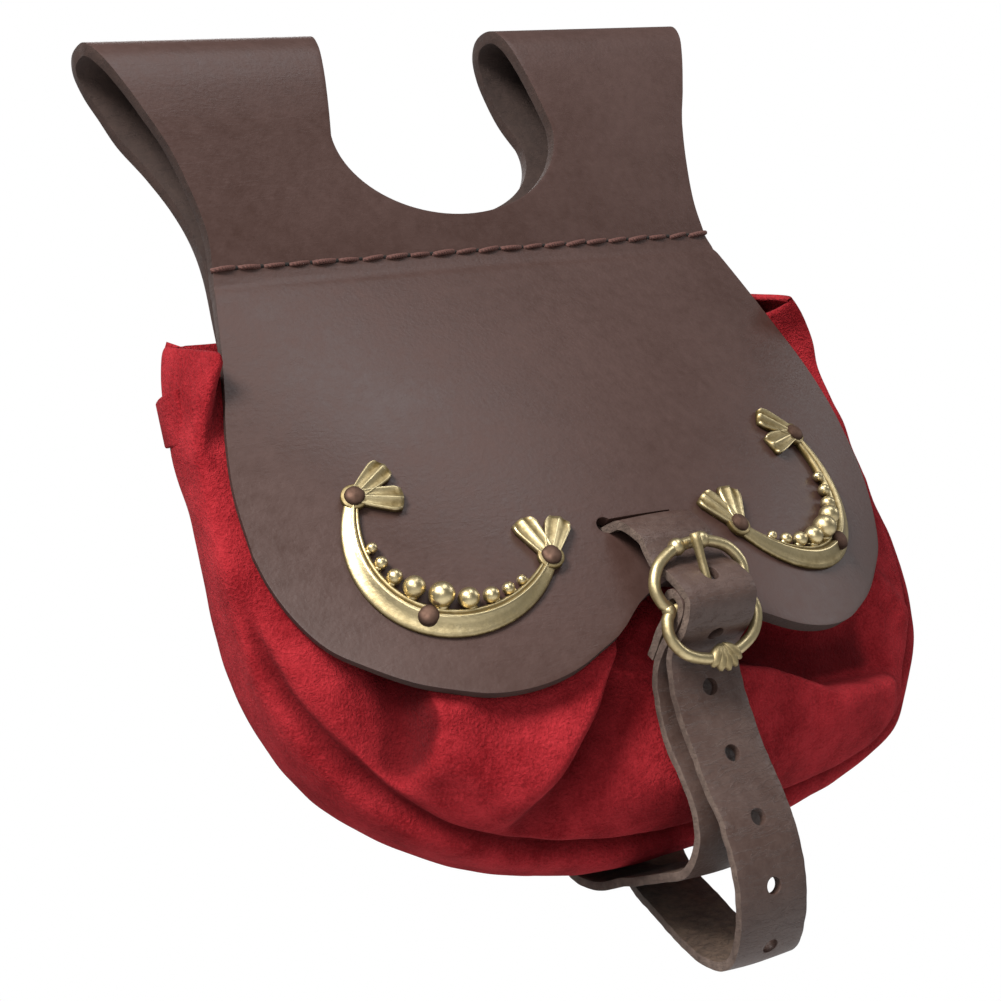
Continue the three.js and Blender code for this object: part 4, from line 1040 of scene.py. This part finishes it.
def band_shape():
    steps = 110
    rings, recess = [], []
    for i in range(steps + 1):
        share = i / steps
        angle = math.radians(crescent_from + (crescent_to - crescent_from) * share)
        width, outer = float(band_width_at(share)), band_outer(share)
        crest = crescent_thickness + 1.45 * (0.35 + 0.65 * math.sin(share * math.pi))
        # across the band from its outer rim: share of the width, height, depth of tarnish
        profile = (
            (0, 0, 0.5), (0, 0.5, 0.4), (0.05, 0.85, 0.1), (0.16, 1.05, 0.12), (0.3, 1.25, 0.1),
            (0.44, crest * 0.72, 0.0), (0.56, crest * 0.92, -0.1), (0.62, crest, -0.2),
            (0.67, crest * 0.95, 0.0), (0.75, crest * 0.68, 0.45), (0.79, crest * 0.62, 0.6),
            (0.84, crest * 0.74, 0.1), (0.88, crest * 0.74, 0.0), (0.94, 1.2, 0.3), (1.0, 0.8, 0.5),
            (1.0, 0, 0.6),
        )
        ring = []
        for part, level, dark in profile:
            ring.append((*polar(angle, outer - width * part), min(level, crest)))
            recess.append(dark)
        rings.append(ring)
    return [p for ring in rings for p in ring], closed_rings(rings), recess


def petal_shape(x, y, axis):
    """A fluted petal: two hollows with a rib between, and a scalloped end"""
    rings, recess = [], []
    for share in np.linspace(0, 1, 13):
        half = petal_width * (0.2 + 0.32 * share ** 0.8) * (1 - 0.25 * max(share - 0.86, 0) / 0.14)
        rise = crescent_thickness * (1.55 - 0.25 * share)
        ring = []
        for part in np.linspace(-1, 1, 15):
            groove = abs(math.sin(part * math.pi))
            flute = groove * share ** 0.7
            scallop = 0.25 * groove * smoothstep(share, 0.6, 1.0) - 0.5 * part * part * share
            level = rise - 0.75 * flute + 0.25 * (1 - abs(part)) * share
            ring.append((share * petal_length + scallop, part * half, level))
            recess.append(0.55 * flute - 0.1)
        ring += [(share * petal_length, half, 0), (share * petal_length, -half, 0)]
        recess += [0.5, 0.5]
        rings.append(ring)
    c, s = polar(math.radians(axis), 1)
    points = [(x + px * c - py * s, y + px * s + py * c, pz) for ring in rings for px, py, pz in ring]
    return points, closed_rings(rings), recess


def dome_shape(x, y, low, radius, height, sides=24, seed=None):
    """A low dome, as of a boss or a hammered rivet head"""
    rings, recess = [], [0.6] * sides
    for i in range(8):
        turn_up = i / 7.4 * math.pi / 2
        ring = []
        for j in range(sides):
            angle = j / sides * 2 * math.pi
            r = radius * math.cos(turn_up)
            z = low + height * math.sin(turn_up)
            if seed is not None:
                knock = noise.noise(Vector((*polar(angle, r * 0.7), seed)))
                r *= 1 + 0.07 * knock
                z += 0.22 * knock * math.sin(turn_up)
            px, py = polar(angle, r)
            ring.append((x + px, y + py, z))
            recess.append(0.4 * math.cos(turn_up) ** 3)
        rings.append(ring)
    rings = [[(px, py, low - 1.1) for px, py, _ in rings[0]]] + rings
    return [p for ring in rings for p in ring], closed_rings(rings), recess


def ball_shape(x, y, z, radius):
    rings, recess = [], []
    for i in range(13):
        turn_up = (i / 12 - 0.5) * math.pi * 0.985
        r, level = polar(turn_up, radius)
        around = [polar(j / 20 * 2 * math.pi, r) for j in range(20)]
        rings.append([(x + px, y + py, z + level) for px, py in around])
        recess += [0.55 * (1 - i / 12) ** 2 - 0.12] * 20
    return [p for ring in rings for p in ring], closed_rings(rings), recess


def onto_flap(shape, side, out=None):
    """Bends a flat shape, with its height off the leather, onto the flap"""
    points, faces, recess = shape
    p = np.array(points)
    out = np.maximum(p[:, 2], 0) + seat_gap if out is None else out - p[:, 2]
    return off_flap(side * (crescent_across - p[:, 0]), crescent_down - p[:, 1], out), faces, recess


for side_name, side in (("left", -1), ("right", 1)):
    shapes = [band_shape()]
    for (_, angle, reach), axis in zip(crescent_rivets[:2], (6, 80)):
        x, y = polar(math.radians(angle), reach * crescent_radius)
        shapes.append(dome_shape(x, y, crescent_thickness * 1.2, rivet_head_radius + 0.7, 0.3))
        shapes += [petal_shape(x, y, axis + spread) for spread in (-25, 25)]
    for share, size in crescent_balls:
        angle = math.radians(crescent_from + (crescent_to - crescent_from) * share)
        radius = size * ball_radius
        r = band_outer(share) - float(band_width_at(share)) - radius * 0.72
        shapes.append(ball_shape(*polar(angle, r), max(radius * 0.8, 0.9), radius * 0.92))
        shapes.append(ball_shape(*polar(angle + 0.03, r + radius * 0.62), 0.9, radius * 0.5))
    crescent = shape_mesh([onto_flap(shape, side) for shape in shapes], f"crescent_{side_name}_brass")
    crescent.data.materials.append(cast_brass)
    finish_piece(crescent, "brass", f"crescent_{side_name}")
    # Each rivet is a copper nail: a hammered head on the brass, and a burr on the flesh side
    for k, (rivet_name, angle, reach) in enumerate(crescent_rivets):
        x, y = polar(math.radians(angle), reach * crescent_radius)
        base = crescent_thickness * 1.4 + (0.7 if rivet_name == "middle" else 0.1)
        head = onto_flap(dome_shape(x, y, base, rivet_head_radius, 0.95, 26, k + side * 3.7), side)
        burr = dome_shape(x, y, 0, rivet_head_radius * 0.8, 0.7, 20, k + 9.0)
        burr = onto_flap(burr, side, -leather_thickness - 0.6)
        rivet = shape_mesh([head, burr], f"rivet_{side_name}_{rivet_name}_head")
        rivet.data.materials.append(worn_copper)
        finish_piece(rivet, "rivet_copper", f"rivet_{side_name}_{rivet_name}")


# The buckle is a cast brass frame of two ovals with a bar between them, two knobs where its pin
# rests and a fluted shell at the bottom. The pin turns on the bar and has a square tip.
buckle_half_width = 12.3
buckle_half_height = 12.6
buckle_bar_half = buckle_half_width * 0.85
buckle_turn = math.radians(-5)
# across and up: shares of buckle_half_width and buckle_half_height
frame_outline = (
    (0.0, 1.0), (0.42, 0.94), (0.8, 0.74), (0.98, 0.42), (0.92, 0.15), (0.8, 0.0),
    (0.92, -0.15), (0.98, -0.42), (0.8, -0.74), (0.42, -0.94), (0.0, -1.0),
)


def wire_ring(line, away, across, thick, dark, sides):
    """A closed ring of wire: its middle line, the ways out of it and the section's two halves"""
    points, recess = [], []
    for at, out in zip(line, away):
        for j in range(sides):
            px, py = polar(j / sides * 2 * math.pi, 1)
            points.append(at + out * px * thick[0] + np.array(across) * py * thick[1])
            recess.append(dark[0] + dark[1] * py)
    faces = grid_faces(len(line), sides, around=True)
    last = (len(line) - 1) * sides
    faces += [(last + j, j, (j + 1) % sides, last + (j + 1) % sides) for j in range(sides)]
    return points, faces, recess


def buckle_ring():
    right = [(a * buckle_half_width, 0, b * buckle_half_height) for a, b in frame_outline]
    left = [(-x, y, z) for x, y, z in right[-2:0:-1]]
    line = smooth_line(right + left, 180, closed=True)
    along = np.roll(line, -1, axis=0) - np.roll(line, 1, axis=0)
    out = np.stack([along[:, 2], np.zeros(len(line)), -along[:, 0]], 1)
    out /= np.linalg.norm(out, axis=1, keepdims=True)
    return wire_ring(line, out, (0, 1, 0), (buckle_wire, buckle_wire), (0.25, 0.3), 14)


def rod_shape(start, end, radii, sides=14):
    """A round rod whose radius changes along it"""
    start, end = np.array(start, float), np.array(end, float)
    along = (end - start) / np.linalg.norm(end - start)
    across = np.cross(along, (0.3, 0.2, 0.9)) if abs(along[0]) > 0.9 else np.cross(along, (1, 0, 0))
    across /= np.linalg.norm(across)
    other = np.cross(along, across)
    rings = []
    for i, radius in enumerate(radii):
        at = start + (end - start) * i / (len(radii) - 1)
        around = [polar(j / sides * 2 * math.pi, radius) for j in range(sides)]
        rings.append([at + across * px + other * py for px, py in around])
    return [p for ring in rings for p in ring], closed_rings(rings), [0.2] * sides * len(radii)


def on_buckle(shape):
    """Turns a shape as the buckle hangs, and takes it there"""
    points, faces, recess = shape
    c, s = polar(buckle_turn, 1)
    middle = np.array((0, buckle_y, buckle_z))
    return [middle + (p[0] * c + p[2] * s, p[1], p[2] * c - p[0] * s) for p in points], faces, recess


buckle_shapes = [
    buckle_ring(),
    rod_shape((-buckle_bar_half, 0, 0), (buckle_bar_half, 0, 0), [buckle_wire * 0.8] * 4),
]
for side in (-1, 1):
    knob_place = (side * buckle_half_width * 0.27, 0, buckle_half_height * 0.99)
    buckle_shapes.append(ball_shape(*knob_place, buckle_wire * 1.5))
    buckle_shapes.append(ball_shape(side * buckle_half_width * 0.83, 0, 0, buckle_wire * 1.2))
shell_top = -buckle_half_height + buckle_wire
shell_flute = [r * buckle_wire for r in (0.25, 0.75, 1.0, 1.12, 1.1, 0.85, 0.3)]
for angle in (-52, -26, 0, 26, 52):
    c, s = polar(math.radians(angle), 1)
    tip = (s * 5.0, -0.35, shell_top - c * 4.6)
    buckle_shapes.append(rod_shape((s * 0.5, -0.2, shell_top + 1.4), tip, shell_flute, 12))
buckle = shape_mesh([on_buckle(shape) for shape in buckle_shapes], "buckle_brass")
buckle.data.materials.append(cast_brass)
finish_piece(buckle, "brass", "buckle_frame")

pin_rim = buckle_wire + 0.25 + 1.1
pin_curl = pin_rim - 0.55
pin_tip = (0, -buckle_wire * 1.2 - 1.5, buckle_half_height + 1.6)
pin_radii = [1.0, 1.15, 1.1, 1.02, 0.98, 0.95, 0.98, 1.1, 1.12, 1.1]
curl_out = np.array([(0, *polar(t, 1)) for t in np.linspace(0, 6.28, 25)[:-1]])
pin_shapes = [
    wire_ring(curl_out * pin_curl, curl_out, (1, 0, 0), (0.55, 0.95), (0.3, 0.0), 10),
    rod_shape((0, -pin_rim + 0.6, 0.4), pin_tip, pin_radii, 8),
]
pin = shape_mesh([on_buckle(shape) for shape in pin_shapes], "buckle_pin_brass")
pin.data.materials.append(cast_brass)
finish_piece(pin, "brass", "buckle_pin")


# The pouch hangs over a plain pale floor in front of a white ground, in soft studio light: a
# large lamp from the upper left in front, a weaker one from the right and even light all round.
floor_drop = 1.0
floor_reach = 4.6
floor = bpy.data.objects.new("studio_floor", bpy.data.meshes.new("studio_floor"))
floor_rim = [(*polar(a, floor_reach), -floor_drop) for a in np.linspace(0, 2 * math.pi, 65)[:-1]]
floor.data.from_pydata(floor_rim, [], [tuple(range(64))])
floor_paint, ground, ground_shader, ground_place = new_material(
    "pale_floor", base_color=(0.8, 0.8, 0.8, 1), roughness=0.9, emission_color=(1, 1, 1, 1),
    emission_strength=0.2,
)
ground_flat = add(ground, "ShaderNodeVectorMath", {1: (1, 1, 0)}, operation="MULTIPLY")
ground_run = add(ground, "ShaderNodeVectorMath", operation="LENGTH")
fade_reach = {"From Min": 1.6, "From Max": 4.4, "To Min": 1.0, "To Max": 0.0}
ground_fade = add(ground, "ShaderNodeMapRange", fade_reach)
wire(
    ground,
    (ground_place, "Object", ground_flat, 0), (ground_flat, 0, ground_run, 0),
    (ground_run, "Value", ground_fade, "Value"), (ground_fade, 0, ground_shader, "Alpha"),
)
floor.data.materials.append(floor_paint)
scene.collection.objects.link(floor)

world = bpy.data.worlds.new("white_studio")
world.use_nodes = True
scene.world = world
air = world.node_tree
air.nodes.clear()
seen = add(air, "ShaderNodeBackground", {"Color": (1, 1, 1, 1), "Strength": 1.0})
lit = add(air, "ShaderNodeBackground", {"Color": (0.95, 0.97, 1.0, 1), "Strength": 0.19})
ray = air.nodes.new("ShaderNodeLightPath")
choose = air.nodes.new("ShaderNodeMixShader")
sky = air.nodes.new("ShaderNodeOutputWorld")
wire(
    air,
    (ray, "Is Camera Ray", choose, 0), (lit, 0, choose, 1), (seen, 0, choose, 2), (choose, 0, sky, 0),
)


def soft_lamp(name, place, size, power, colour):
    lamp = bpy.data.lights.new(name, "AREA")
    lamp.shape = "SQUARE"
    lamp.size = size
    lamp.energy = power
    lamp.color = colour
    holder = bpy.data.objects.new(name, lamp)
    holder.location = place
    aim = Vector((0, -0.02, -0.09)) - Vector(place)
    holder.rotation_euler = aim.to_track_quat("-Z", "Y").to_euler()
    scene.collection.objects.link(holder)


soft_lamp("key_lamp", (-0.85, -0.6, 0.85), 0.5, 34.0, (1.0, 0.985, 0.96))
soft_lamp("top_lamp", (0.36, -0.72, 1.05), 0.6, 4.5, (0.93, 0.96, 1.0))
soft_lamp("side_lamp", (1.2, -0.5, 0.3), 0.5, 2.5, (0.97, 0.98, 1.0))
soft_lamp("front_lamp", (-0.6, -1.1, 0.1), 0.6, 4.0, (1.0, 1.0, 1.0))
soft_lamp("back_lamp", (0.2, 1.1, 0.6), 1.0, 9.0, (1.0, 1.0, 1.0))
scene.view_settings.view_transform = "Standard"
